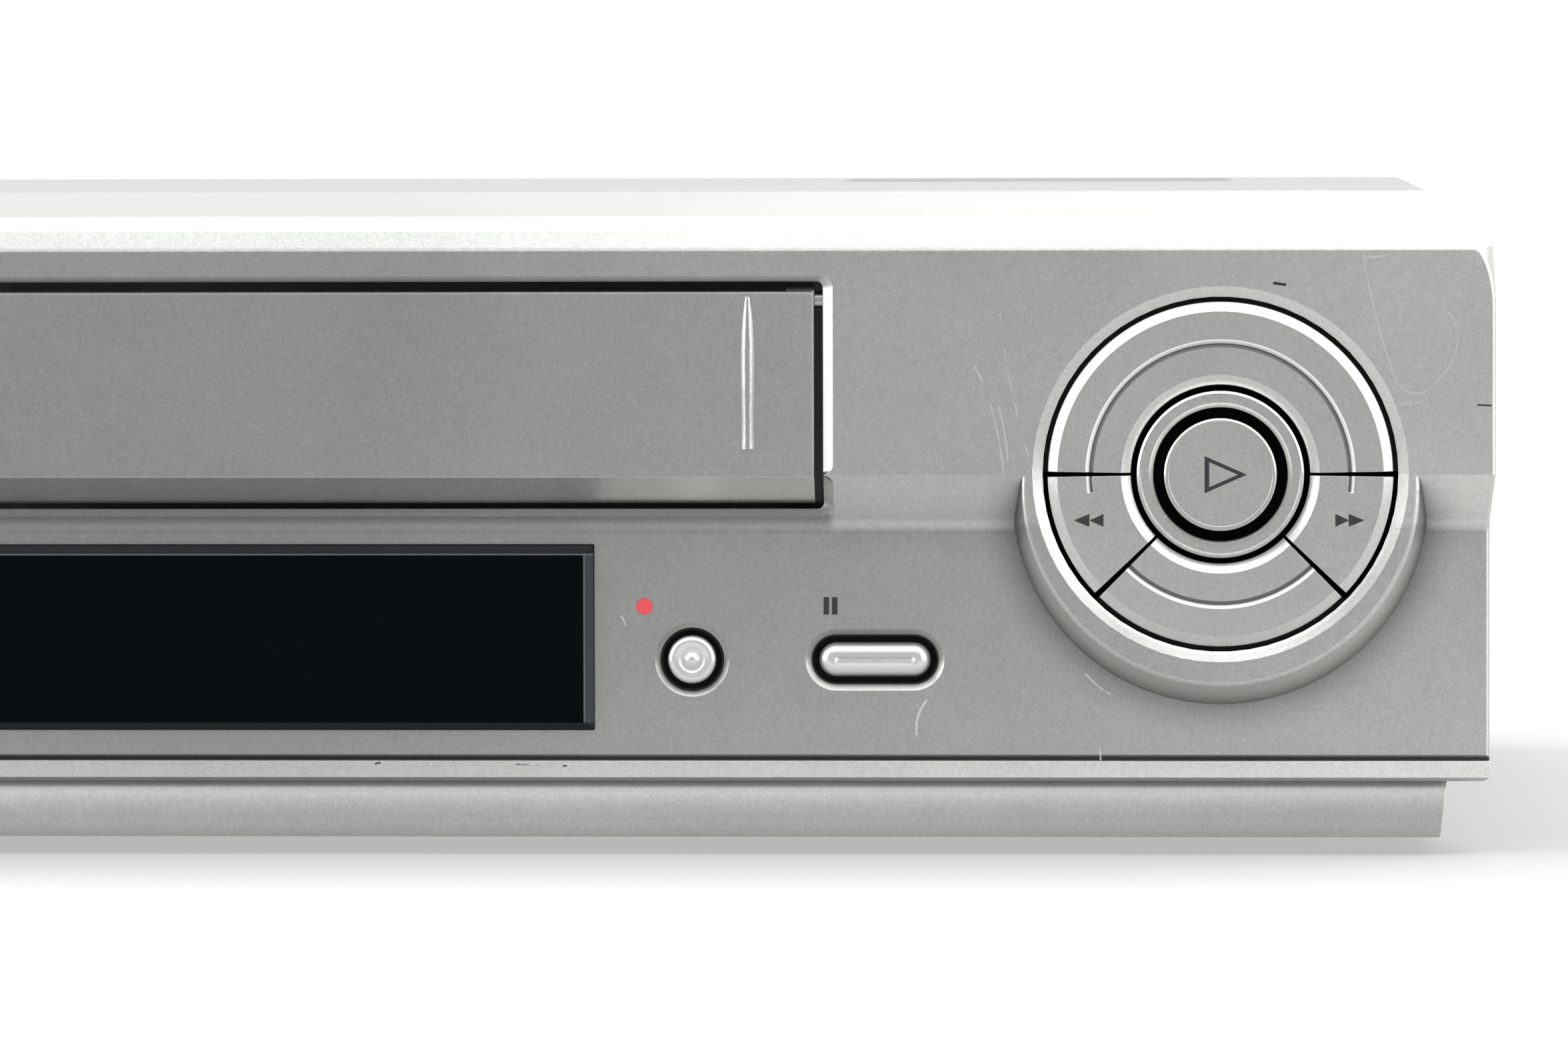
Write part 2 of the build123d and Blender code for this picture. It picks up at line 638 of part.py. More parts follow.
ring_bevels = rim_bevels(ring_face_y)
fixed_sectors = [(key_gap, 180 - 2 * key_gap), (-134.6, 89.2)]
with BuildPart() as dial_ring:
    with BuildSketch(front_plane(dial_x, base_plate_y + base_plate, dial_z)):
        Circle(dial_hole_r + 2.0)
        Circle(3.4, mode=Mode.SUBTRACT)
        for angle in (-key_sweep / 2, 180 + key_sweep / 2):
            with PolarLocations(groove_r, 1, angle):
                Circle(2.5, mode=Mode.SUBTRACT)
    extrude(amount=base_plate)
    for start, sweep in fixed_sectors:
        with BuildSketch(front_plane(dial_x, base_plate_y, dial_z)):
            add(ring_sector(start, sweep, ring_inner_r, dial_hole_r - 0.1))
        extrude(amount=base_plate_y - step_y)
        with BuildSketch(front_plane(dial_x, step_y, dial_z)):
            add(ring_sector(start, sweep, ring_inner_r, ring_r))
        extrude(amount=step_y - ring_face_y)
    add(ring_bevels, mode=Mode.SUBTRACT)
    with BuildSketch(Plane.XY.offset(dial_z)):
        with BuildLine():
            Polyline(
                (dial_x + groove_r - 0.45, ring_face_y - 0.01),
                (dial_x + groove_r + 0.45, ring_face_y - 0.01),
                (dial_x + groove_r, ring_face_y + 0.5),
                close=True,
            )
        make_face()
    revolve(axis=Axis((dial_x, 0, dial_z), (0, 1, 0)), mode=Mode.SUBTRACT)
dial_ring.part.label = "dial_ring"
export_step(dial_ring.part, "parts/dial_ring.step")

with BuildPart() as play_collar:
    with BuildSketch(Plane.XY.offset(dial_z)):
        with BuildLine():
            Polyline(
                (dial_x + collar_hole_r, base_plate_y),
                (dial_x + collar_hole_r, face_y + 0.1),
                (dial_x + collar_hole_r + 0.35, face_y - 0.25),
                (dial_x + collar_hole_r + 0.6, face_y + 0.1),
                (dial_x + collar_r - 0.6, face_y + 0.1),
                (dial_x + collar_r - 0.35, face_y - 0.25),
                (dial_x + collar_r, face_y + 0.1),
                (dial_x + collar_r, base_plate_y),
                close=True,
            )
        make_face()
    revolve(axis=Axis((dial_x, 0, dial_z), (0, 1, 0)))
play_collar.part.label = "play_collar"
export_step(play_collar.part, "parts/play_collar.step")

# ---- buttons ------------------------------------------------------------------------------------
stem_back_y = switch_tip_y - button_travel - 0.5
with BuildPart() as play_button:
    with BuildSketch(front_plane(dial_x, -half_depth + 3.6, dial_z)):
        Circle(play_r)
    extrude(amount=3.6)
    chamfer(play_button.edges().group_by(Axis.Y)[0], 0.25)
    with BuildSketch(front_plane(dial_x, -half_depth, dial_z)):
        Circle(play_r - 0.6)
    extrude(amount=-play_dish, mode=Mode.SUBTRACT)
    with BuildSketch(front_plane(dial_x, stem_back_y, dial_z)):
        Circle(2.8)
    extrude(amount=abs(-half_depth + 3.6 - stem_back_y))
play_button.part.label = "play_button"
export_step(play_button.part, "parts/play_button.step")

key_face_y = face_y + 0.2
key_bevels = rim_bevels(key_face_y)
for name, start in (("rewind_key", 180 + key_gap), ("forward_key", -key_sweep)):
    with BuildPart() as key:
        with BuildSketch(front_plane(dial_x, key_face_y + 3, dial_z)):
            add(ring_sector(start, key_sweep - key_gap, ring_inner_r, ring_r))
        extrude(amount=3)
        add(key_bevels, mode=Mode.SUBTRACT)
        stem_angle = -key_sweep / 2 if start < 0 else 180 + key_sweep / 2
        with BuildSketch(front_plane(dial_x, stem_back_y, dial_z)):
            with PolarLocations(groove_r, 1, stem_angle):
                Circle(2.0)
        extrude(amount=abs(key_face_y + 3 - stem_back_y))
        with BuildSketch(Plane.XY.offset(dial_z)):
            side = 1 if start < 0 else -1
            with BuildLine():
                Polyline(
                    (dial_x + side * (groove_r - 0.45), key_face_y - 0.01),
                    (dial_x + side * (groove_r + 0.45), key_face_y - 0.01),
                    (dial_x + side * groove_r, key_face_y + 0.5),
                    close=True,
                )
            make_face()
        revolve(axis=Axis((dial_x, 0, dial_z), (0, 1, 0)), revolution_arc=8 * side, mode=Mode.SUBTRACT)
    key.part.label = name
    export_step(key.part, f"parts/{name}.step")

round_buttons = {
    "record_button": (record_x, button_z, lower_y),
    "channel_up_button": (channel_up_x, button_z, lower_y),
    "channel_down_button": (channel_down_x, button_z, lower_y),
    "power_button": (power_x, power_z, face_y),
}
for name, (x, z, face) in round_buttons.items():
    tip = face - 0.8
    flange_y = face + wall + 0.3
    with BuildPart() as round_button:
        with BuildSketch(Plane.XY.offset(z)):
            with BuildLine():
                ThreePointArc((x, tip), (x + 0.65, tip + 0.15), (x + 1.0, tip + 0.5))
                Polyline(
                    (x + 1.0, tip + 0.5),
                    (x + 1.6, tip + 0.45),
                    (x + 1.8, tip + 0.3),
                    (x + 2.5, tip + 0.12),
                )
                ThreePointArc((x + 2.5, tip + 0.12), (x + 3.18, tip + 0.4), (x + round_button_r, tip + 1.1))
                Polyline(
                    (x + round_button_r, tip + 1.1),
                    (x + round_button_r, flange_y),
                    (x + 5.2, flange_y),
                    (x + 5.2, flange_y + 0.8),
                    (x + 2.0, flange_y + 0.8),
                    (x + 2.0, stem_back_y),
                    (x, stem_back_y),
                    (x, tip),
                )
            make_face()
        revolve(axis=Axis((x, 0, z), (0, 1, 0)))
    round_button.part.label = name
    export_step(round_button.part, f"parts/{name}.step")

for name, x in (("pause_button", pause_x), ("stop_eject_button", stop_x)):
    tip = lower_y - 0.9
    with BuildPart() as pill:
        with BuildSketch(front_plane(x, back_of_lower + 0.3, button_z)):
            SlotOverall(pill_length, pill_height)
        extrude(amount=abs(tip - back_of_lower - 0.3))
        fillet(pill.edges().group_by(Axis.Y)[0], 1.9)
        with BuildSketch(front_plane(x, tip - 0.01, button_z)):
            SlotOverall(11.4, 1.2)
        with BuildSketch(front_plane(x, tip + 0.55, button_z)):
            SlotOverall(10.4, 0.2)
        loft(mode=Mode.SUBTRACT)
        with BuildSketch(front_plane(x, back_of_lower + 1.1, button_z)):
            SlotOverall(pill_length + 3.2, pill_height + 3.2)
        extrude(amount=0.8)
        with BuildSketch(front_plane(x, stem_back_y, button_z)):
            Circle(2.0)
        extrude(amount=abs(stem_back_y - back_of_lower - 1.1))
    pill.part.label = name
    export_step(pill.part, f"parts/{name}.step")

# ---- boards -------------------------------------------------------------------------------------
switch_points = [(x, z) for x, z, _ in round_buttons.values()]
switch_points += pill_buttons + [(dial_x, dial_z)]
for angle in (-key_sweep / 2, 180 + key_sweep / 2):
    a = math.radians(angle)
    switch_points.append((dial_x + groove_r * math.cos(a), dial_z + groove_r * math.sin(a)))

with BuildPart() as key_board:
    with BuildSketch(front_plane(0, key_board_y, 0)):
        with Locations((2.5, 30)):
            Rectangle(337, 30)
        with Locations((141, 53)):
            Rectangle(56, 20)
        with Locations((-150, 58)):
            Rectangle(30, 30)
    extrude(amount=-1.6)
key_board.part.label = "key_board"
export_step(key_board.part, "parts/key_board.step")

with BuildPart() as tact_switches:
    with BuildSketch(front_plane(0, key_board_y, 0)):
        with Locations(*switch_points):
            Rectangle(6, 6)
    extrude(amount=2.2)
    with BuildSketch(front_plane(0, key_board_y - 2.2, 0)):
        with Locations(*switch_points):
            Circle(1.7)
    extrude(amount=abs(switch_tip_y - key_board_y + 2.2))
tact_switches.part.label = "tact_switches"
export_step(tact_switches.part, "parts/tact_switches.step")

board_z = 12.0
board_top = board_z + 1.6
deck_posts_at = [(-112, -88), (80, -88), (-112, 96), (80, 96)]
with BuildPart() as main_board:
    with BuildSketch(Plane.XY.offset(board_z)):
        with Locations((24, 13)):
            Rectangle(286, 206)
        with Locations(*deck_posts_at):
            Circle(5, mode=Mode.SUBTRACT)
    extrude(amount=board_top - board_z)
main_board.part.label = "main_board"
export_step(main_board.part, "parts/main_board.step")

with BuildPart() as main_board_parts:
    with BuildSketch(Plane.XY.offset(board_top)):
        with Locations((116, -30), (142, 18), (116, 62)):
            Rectangle(22, 22)
        with Locations((146, -52), (118, 16), (148, 62), (150, 96)):
            Rectangle(10, 26)
    extrude(amount=3)
    with BuildSketch(Plane.XY.offset(board_top)):
        with Locations((104, -78)):
            with GridLocations(11, 11, 2, 2):
                Circle(4)
        with Locations((132, -4), (128, 46), (120, 84), (106, 96), (160, -18)):
            Circle(3.2)
    extrude(amount=12)
    fillet(main_board_parts.edges().group_by(Axis.Z)[-1], 0.6)
main_board_parts.part.label = "main_board_parts"
export_step(main_board_parts.part, "parts/main_board_parts.step")

# The mains side stands on its own board behind the power button.
power_board_x, power_board_y = -146.0, 45.0
with BuildPart() as power_board:
    with BuildSketch(Plane.XY.offset(board_z)):
        with Locations((power_board_x, power_board_y)):
            Rectangle(42, 100)
    extrude(amount=board_top - board_z)
power_board.part.label = "power_board"
export_step(power_board.part, "parts/power_board.step")

with BuildPart() as transformer:
    with BuildSketch(Plane.XY.offset(board_top + 4)):
        with Locations((power_board_x, power_board_y + 26)):
            Rectangle(34, 30)
    extrude(amount=22)
    with BuildSketch(Plane.XY.offset(board_top)):
        with Locations((power_board_x, power_board_y + 26)):
            RectangleRounded(24, 38, 4)
    extrude(amount=30)
transformer.part.label = "transformer"
export_step(transformer.part, "parts/transformer.step")

fuse_y = power_board_y - 45
with BuildPart() as power_board_parts:
    with BuildSketch(Plane.XY.offset(board_top)):
        with Locations((power_board_x - 8, power_board_y - 24)):
            Circle(9)
        with Locations((power_board_x + 10, power_board_y - 34), (power_board_x + 10, power_board_y - 21)):
            Circle(5.5)
    extrude(amount=28)
    fillet(power_board_parts.edges().group_by(Axis.Z)[-1], 1.0)
    with BuildSketch(side_plane(power_board_x - 12)):
        with Locations((fuse_y, board_top + 4)):
            Circle(2.5)
    extrude(amount=12)
    for x in (power_board_x - 12.5, power_board_x - 3.5):
        with BuildSketch(side_plane(x)):
            with Locations((fuse_y, board_top + 3)):
                Rectangle(6, 6)
        extrude(amount=4)
power_board_parts.part.label = "power_board_parts"
export_step(power_board_parts.part, "parts/power_board_parts.step")

with BuildPart() as heat_sink:
    with BuildSketch(Plane.XY.offset(board_top)):
        with Locations((power_board_x, power_board_y - 6)):
            Rectangle(36, 2)
        with Locations((power_board_x, power_board_y - 2)):
            with GridLocations(5.7, 0, 7, 1):
                Rectangle(1.2, 8)
    extrude(amount=34)
heat_sink.part.label = "heat_sink"
export_step(heat_sink.part, "parts/heat_sink.step")

# ---- cassette entry -----------------------------------------------------------------------------
# U-shaped tunnel between the flap and the carriage.
entry_y0, entry_y1 = -124.8, -99.5
with BuildPart() as slot_frame:
    with BuildSketch(side_plane(deck_x - 102.2)):
        with Locations(((entry_y0 + entry_y1) / 2, 48.3)):
            Rectangle(entry_y1 - entry_y0, 1.6)
    extrude(amount=204.4)
    for x in (deck_x - 102.2, deck_x + 100.8):
        with BuildSketch(side_plane(x)):
            with Locations(((entry_y0 + 6 + entry_y1) / 2, 63)):
                Rectangle(entry_y1 - entry_y0 - 6, 31)
        extrude(amount=1.4)
    with BuildSketch(side_plane(deck_x - 102.0)):
        with Locations((spring_y, spring_z)):
            Circle(1.8)
    extrude(amount=-5)
slot_frame.part.label = "slot_frame"
export_step(slot_frame.part, "parts/slot_frame.step")

carriage_travel, carriage_drop = 45.0, 20.0
slot_angle = -math.degrees(math.atan2(carriage_drop, carriage_travel))
slide_length = math.hypot(carriage_travel, carriage_drop)
holder_y0, holder_y1 = -98.0, -23.0
pin_r = 1.5
slide_width = 2 * (pin_r + 0.1)
pin_points = [(-88.0, 70.0), (-40.0, 70.0)]
for name, side in (("carriage_rail_left", -1), ("carriage_rail_right", 1)):
    with BuildPart() as rail:
        with BuildSketch(side_plane(deck_x + side * rail_offset - 0.75)):
            with Locations((-30.5, 56)):
                Rectangle(135, 54)
            with Locations((10, 80), (-70, 36)):
                Rectangle(90, 8, mode=Mode.SUBTRACT)
            for y, z in pin_points:
                with Locations((y + carriage_travel / 2, z - carriage_drop / 2)):
                    SlotCenterToCenter(slide_length, slide_width, rotation=slot_angle, mode=Mode.SUBTRACT)
        extrude(amount=1.5)
        with BuildSketch(Plane.XY.offset(deck_top)):
            with Locations((deck_x + side * (rail_offset + 3.5), -30.5)):
                Rectangle(7, 131)
        extrude(amount=1.5)
    rail.part.label = name
    export_step(rail.part, f"parts/{name}.step")

with BuildPart() as cassette_holder:
    with BuildSketch(Plane.XZ.offset(-holder_y0)):
        with Locations((deck_x, 63.5)):
            Rectangle(2 * holder_half, 28.4)
        with Locations((deck_x, 63.6)):
            Rectangle(2 * (holder_half - 1.2), 25.8, mode=Mode.SUBTRACT)
        with Locations((deck_x, 49)):
            Rectangle(2 * (holder_half - 11), 6, mode=Mode.SUBTRACT)
    extrude(amount=holder_y0 - holder_y1)
    with BuildSketch(Plane.XY.offset(70)):
        with Locations((deck_x, -60.5)):
            with GridLocations(58, 0, 3, 1):
                RectangleRounded(46, 44, 4)
    extrude(amount=12, mode=Mode.SUBTRACT)
    for side in (-1, 1):
        for y, z in pin_points:
            with BuildSketch(side_plane(deck_x + side * (holder_half - 0.2))):
                with Locations((y, z)):
                    Circle(pin_r)
            extrude(amount=side * (rail_offset + 1.6 - holder_half))
cassette_holder.part.label = "cassette_holder"
export_step(cassette_holder.part, "parts/cassette_holder.step")

# ---- deck ---------------------------------------------------------------------------------------
guide_start = (24.0, 12.0)          # from the middle of the deck
guide_end = (40.0, 58.0)
guide_travel = math.dist(guide_start, guide_end)
guide_angle = math.degrees(math.atan2(guide_end[1] - guide_start[1], guide_end[0] - guide_start[0]))
guide_middle_x = (guide_start[0] + guide_end[0]) / 2
guide_middle_y = (guide_start[1] + guide_end[1]) / 2
reel_x = [deck_x - reel_spacing / 2, deck_x + reel_spacing / 2]
pinch_pivot = (58.0, 48.0)
tension_pivot = (-84.0, 32.0)
reel_pin_r, pivot_pin_r = 1.5, 1.5
with BuildPart() as deck_plate:
    with BuildSketch(Plane.XY.offset(deck_z)):
        with Locations((deck_x, 3.5)):
            RectangleRounded(208, 201, 3)
        with Locations((deck_x - guide_middle_x, guide_middle_y)):
            SlotCenterToCenter(guide_travel, 4.4, rotation=180 - guide_angle, mode=Mode.SUBTRACT)
        with Locations((deck_x + guide_middle_x, guide_middle_y)):
            SlotCenterToCenter(guide_travel, 4.4, rotation=guide_angle, mode=Mode.SUBTRACT)
        with Locations(capstan, clutch):
            Circle(2.2, mode=Mode.SUBTRACT)
        with Locations((deck_x - 46, -78), (deck_x + 46, -78)):
            RectangleRounded(50, 20, 4, mode=Mode.SUBTRACT)
    extrude(amount=deck_top - deck_z)
    with BuildSketch(Plane.XY.offset(deck_top)):
        with Locations(*[(x, reel_y) for x in reel_x]):
            Circle(reel_pin_r)
    extrude(amount=13)
    with BuildSketch(Plane.XY.offset(deck_top)):
        with Locations(pinch_pivot, tension_pivot, cam_centre):
            Circle(pivot_pin_r)
    extrude(amount=8)
deck_plate.part.label = "deck_plate"
export_step(deck_plate.part, "parts/deck_plate.step")

with BuildPart() as deck_posts:
    with BuildSketch(Plane.XY.offset(pan_top_z)):
        with Locations(*deck_posts_at):
            Circle(3.5)
    extrude(amount=deck_z - pan_top_z)
deck_posts.part.label = "deck_posts"
export_step(deck_posts.part, "parts/deck_posts.step")

for name, x in (("supply_reel", reel_x[0]), ("takeup_reel", reel_x[1])):
    with BuildPart() as reel:
        with BuildSketch(Plane.XY.offset(28.2)):
            with Locations((x, reel_y)):
                Circle(21)
        extrude(amount=1.6)
        with BuildSketch(Plane.XY.offset(29.8)):
            with Locations((x, reel_y)):
                Circle(10)
        extrude(amount=1.6)
        with BuildSketch(Plane.XY.offset(31.4)):
            with Locations((x, reel_y)):
                Circle(4.4)
                with PolarLocations(4.6, 3):
                    Rectangle(3.4, 1.6)
        extrude(amount=10.5)
        with BuildSketch(Plane.XY.offset(28)):
            with Locations((x, reel_y)):
                Circle(reel_pin_r + run_fit)
        extrude(amount=14, mode=Mode.SUBTRACT)
    reel.part.label = name
    export_step(reel.part, f"parts/{name}.step")

# Idler between the reels, turned by the clutch pulley under the deck.
idler_length = 25.0
idler_r = 14.0
idler_axle = (clutch[0], clutch[1] - idler_length)
with BuildPart() as idler_arm:
    with BuildSketch(Plane.XY.offset(31.0)):
        with Locations(clutch, idler_axle):
            Circle(4.5)
        with Locations(((clutch[0] + idler_axle[0]) / 2, (clutch[1] + idler_axle[1]) / 2)):
            Rectangle(6, idler_length)
        with Locations(clutch):
            Circle(1.5 + run_fit, mode=Mode.SUBTRACT)
    extrude(amount=1.2)
    with BuildSketch(Plane.XY.offset(31.0)):
        with Locations(idler_axle):
            Circle(1.2)
    extrude(amount=-3.0)
idler_arm.part.label = "idler_arm"
export_step(idler_arm.part, "parts/idler_arm.step")

with BuildPart() as idler_wheel:
    with BuildSketch(Plane.XY.offset(28.3)):
        with Locations(idler_axle):
            Circle(idler_r)
            Circle(1.2 + run_fit, mode=Mode.SUBTRACT)
    extrude(amount=2.2)
    wheel_rims = idler_wheel.edges().filter_by(GeomType.CIRCLE)
    fillet(wheel_rims.filter_by(lambda e: e.radius > 10), 0.4)
idler_wheel.part.label = "idler_wheel"
export_step(idler_wheel.part, "parts/idler_wheel.step")

clutch_r, capstan_pulley_r = 12.0, 6.0
belt_z0, belt_z1 = 16.6, 18.6
with BuildPart() as clutch_pulley:
    with BuildSketch(Plane.XY.offset(15.8)):
        with Locations(clutch):
            Circle(clutch_r + 1.4)
    extrude(amount=3.6)
    with BuildSketch(Plane.XY.offset(belt_z0 - 0.05)):
        with Locations(clutch):
            Circle(clutch_r + 2)
            Circle(clutch_r, mode=Mode.SUBTRACT)
    extrude(amount=belt_z1 - belt_z0 + 0.1, mode=Mode.SUBTRACT)
    with BuildSketch(Plane.XY.offset(15.0)):
        with Locations(clutch):
            Circle(1.5)
    extrude(amount=18.4)
clutch_pulley.part.label = "clutch_pulley"
export_step(clutch_pulley.part, "parts/clutch_pulley.step")

# Capstan: a thin shaft through the deck on a heavy flywheel with a belt pulley.
with BuildPart() as capstan_flywheel:
    with BuildSketch(Plane.XY.offset(19.8)):
        with Locations(capstan):
            Circle(22)
    extrude(amount=4.2)
    chamfer(capstan_flywheel.edges(), 0.5)
    with BuildSketch(Plane.XY.offset(15.8)):
        with Locations(capstan):
            Circle(capstan_pulley_r + 1.4)
    extrude(amount=4.0)
    with BuildSketch(Plane.XY.offset(belt_z0 - 0.05)):
        with Locations(capstan):
            Circle(capstan_pulley_r + 2)
            Circle(capstan_pulley_r, mode=Mode.SUBTRACT)
    extrude(amount=belt_z1 - belt_z0 + 0.1, mode=Mode.SUBTRACT)
    with BuildSketch(Plane.XY.offset(15.0)):
        with Locations(capstan):
            Circle(1.5)
    extrude(amount=43)
capstan_flywheel.part.label = "capstan_flywheel"
export_step(capstan_flywheel.part, "parts/capstan_flywheel.step")

belt_gap = 0.05
with BuildPart() as drive_belt:
    with BuildSketch(Plane.XY.offset(belt_z0)):
        with BuildSketch(mode=Mode.PRIVATE) as belt_outside:
            with Locations(capstan):
                Circle(capstan_pulley_r + belt_gap + 1.0)
            with Locations(clutch):
                Circle(clutch_r + belt_gap + 1.0)
            make_hull()
        with BuildSketch(mode=Mode.PRIVATE) as belt_inside:
            with Locations(capstan):
                Circle(capstan_pulley_r + belt_gap)
            with Locations(clutch):
                Circle(clutch_r + belt_gap)
            make_hull()
        add(belt_outside.sketch)
        add(belt_inside.sketch, mode=Mode.SUBTRACT)
    extrude(amount=belt_z1 - belt_z0)
drive_belt.part.label = "drive_belt"
export_step(drive_belt.part, "parts/drive_belt.step")

with BuildPart() as capstan_housing:
    with BuildSketch(Plane.XY.offset(deck_top)):
        with Locations(capstan):
            Circle(7)
    extrude(amount=0.8)
    with BuildSketch(Plane.XY.offset(deck_top)):
        with Locations(capstan):
            Circle(3.6)
    extrude(amount=8)
    with BuildSketch(Plane.XY.offset(deck_top)):
        with Locations(capstan):
            Circle(1.5 + run_fit)
    extrude(amount=9, mode=Mode.SUBTRACT)
capstan_housing.part.label = "capstan_housing"
export_step(capstan_housing.part, "parts/capstan_housing.step")

pinch_r = 6.5
pinch_rest = (38.3, 47.0)
with BuildPart() as pinch_arm:
    with BuildSketch(Plane.XY.offset(28.4)):
        with BuildSketch(mode=Mode.PRIVATE) as arm_outline:
            with Locations(pinch_pivot):
                Circle(4.5)
            with Locations(pinch_rest):
                Circle(3.2)
            make_hull()
        add(arm_outline.sketch)
    extrude(amount=2)
    with BuildSketch(Plane.XY.offset(30.4)):
        with Locations(pinch_pivot):
            Circle(3.5)
    extrude(amount=5)
    with BuildSketch(Plane.XY.offset(30.4)):
        with Locations(pinch_rest):
            Circle(1.5)
    extrude(amount=22)
    with BuildSketch(Plane.XY.offset(28)):
        with Locations(pinch_pivot):
            Circle(pivot_pin_r + run_fit)
    extrude(amount=8, mode=Mode.SUBTRACT)
pinch_arm.part.label = "pinch_arm"
export_step(pinch_arm.part, "parts/pinch_arm.step")

with BuildPart() as pinch_roller:
    with BuildSketch(Plane.XY.offset(36.5)):
        with Locations(pinch_rest):
            Circle(pinch_r)
            Circle(1.5 + run_fit, mode=Mode.SUBTRACT)
    extrude(amount=14)
pinch_roller.part.label = "pinch_roller"
export_step(pinch_roller.part, "parts/pinch_roller.step")

# Head drum: both halves share an axis that leans towards the front.
drum_plane = Plane(origin=(deck_x, drum_y, deck_top), x_dir=(1, 0, 0),
                   z_dir=(0, -math.sin(math.radians(drum_tilt)), math.cos(math.radians(drum_tilt))))
with BuildPart() as head_drum_lower:
    with BuildSketch(Plane.XY.offset(deck_top)):
        with Locations((deck_x, drum_y)):
            RectangleRounded(48, 62, 6)
    extrude(amount=3)
    with BuildSketch(drum_plane.offset(2.6)):
        Circle(22)
    extrude(amount=5)
    with BuildSketch(drum_plane.offset(7)):
        Circle(drum_r)
    extrude(amount=15)
    with BuildSketch(drum_plane.offset(22)):
        Circle(4)
    extrude(amount=3)
head_drum_lower.part.label = "head_drum_lower"
export_step(head_drum_lower.part, "parts/head_drum_lower.step")

with BuildPart() as head_drum_upper:
    with BuildSketch(drum_plane.offset(22.4)):
        Circle(drum_r)
        Circle(4 + run_fit, mode=Mode.SUBTRACT)
    extrude(amount=13)
    with BuildSketch(drum_plane.offset(35.4)):
        Circle(27)
        Circle(19, mode=Mode.SUBTRACT)
    extrude(amount=-3, mode=Mode.SUBTRACT)
    for angle in (0, 180):
        with BuildSketch(drum_plane.offset(22.4)):
            with PolarLocations(drum_r - 1.2, 1, angle):
                Rectangle(2.6, 3)
        extrude(amount=1.4, mode=Mode.SUBTRACT)
head_drum_upper.part.label = "head_drum_upper"
export_step(head_drum_upper.part, "parts/head_drum_upper.step")

with BuildPart() as drum_rotor:
    with BuildSketch(drum_plane.offset(35.4)):
        Circle(15)
    extrude(amount=5)
    chamfer(drum_rotor.edges().group_by(Axis.Z)[-1], 0.8)
drum_rotor.part.label = "drum_rotor"
export_step(drum_rotor.part, "parts/drum_rotor.step")


# ---- loading gear -------------------------------------------------------------------------------
def gear_outline(teeth, phase, backlash):
    """Closed tooth outline as straight-flanked teeth on the pitch circle; phase in tooth pitches."""
    pitch_r = gear_module * teeth / 2
    tip_r, root_r = pitch_r + gear_module * 0.9, pitch_r - gear_module * 1.2
    pitch_angle = 2 * math.pi / teeth
    half_tooth = pitch_angle / 4 - backlash / pitch_r
    lean = math.tan(math.radians(20)) * gear_module
    points = []
    for tooth in range(teeth):
        middle = (tooth + phase) * pitch_angle
        for r, a in (
            (root_r, -half_tooth - 1.2 * lean / pitch_r),
            (tip_r, -half_tooth + 0.9 * lean / pitch_r),
            (tip_r, half_tooth - 0.9 * lean / pitch_r),
            (root_r, half_tooth + 1.2 * lean / pitch_r),
        ):
            points.append((r * math.cos(middle + a), r * math.sin(middle + a)))
    return points


gear_centres = gear_module * (cam_teeth + pinion_teeth) / 2
pinion_centre = (cam_centre[0], cam_centre[1] - gear_centres)
gear_backlash = 0.12
gear_z = 29.2
with BuildPart() as cam_gear:
    with BuildSketch(Plane((*cam_centre, gear_z))):
        with BuildLine():
            Polyline(*gear_outline(cam_teeth, 0.0, gear_backlash), close=True)
        make_face()
        Circle(pivot_pin_r + run_fit, mode=Mode.SUBTRACT)
        with PolarLocations(13, 5):
            Circle(4.2, mode=Mode.SUBTRACT)
    extrude(amount=3.4)
    with BuildSketch(Plane.XY.offset(gear_z + 3.4)):
        with Locations(cam_centre):
            Circle(6)
            Circle(pivot_pin_r + run_fit, mode=Mode.SUBTRACT)
    extrude(amount=2)
cam_gear.part.label = "cam_gear"
export_step(cam_gear.part, "parts/cam_gear.step")

# The cam gear has a tooth at 270 degrees; the pinion has a space facing it.
with BuildPart() as pinion:
    with BuildSketch(Plane((*pinion_centre, gear_z))):
        with BuildLine():
            Polyline(*gear_outline(pinion_teeth, 0.25, gear_backlash), close=True)
        make_face()
    extrude(amount=3.4)
    with BuildSketch(Plane.XY.offset(gear_z + 3.4)):
        with Locations(pinion_centre):
            Circle(1.0)
    extrude(amount=5.4)
pinion.part.label = "pinion"
export_step(pinion.part, "parts/pinion.step")

motor_z = 38.0
with BuildPart() as loading_motor:
    with BuildSketch(Plane.XY.offset(motor_z - 1.5)):
        with Locations(pinion_centre):
            Rectangle(30, 18)
    extrude(amount=1.5)
    with BuildSketch(Plane.XY.offset(deck_top)):
        with Locations((pinion_centre[0] - 14, pinion_centre[1]), (pinion_centre[0] + 14, pinion_centre[1])):
            Rectangle(2, 10)
    extrude(amount=motor_z - 1.5 - deck_top)
    with BuildSketch(Plane.XY.offset(motor_z)):
        with Locations(pinion_centre):
            Circle(11)
    extrude(amount=26)
    fillet(loading_motor.edges().group_by(Axis.Z)[-1], 1.5)
    with BuildSketch(Plane.XY.offset(motor_z - 1.5)):
        with Locations(pinion_centre):
            Circle(1.0 + run_fit)
    extrude(amount=8, mode=Mode.SUBTRACT)
loading_motor.part.label = "loading_motor"
export_step(loading_motor.part, "parts/loading_motor.step")

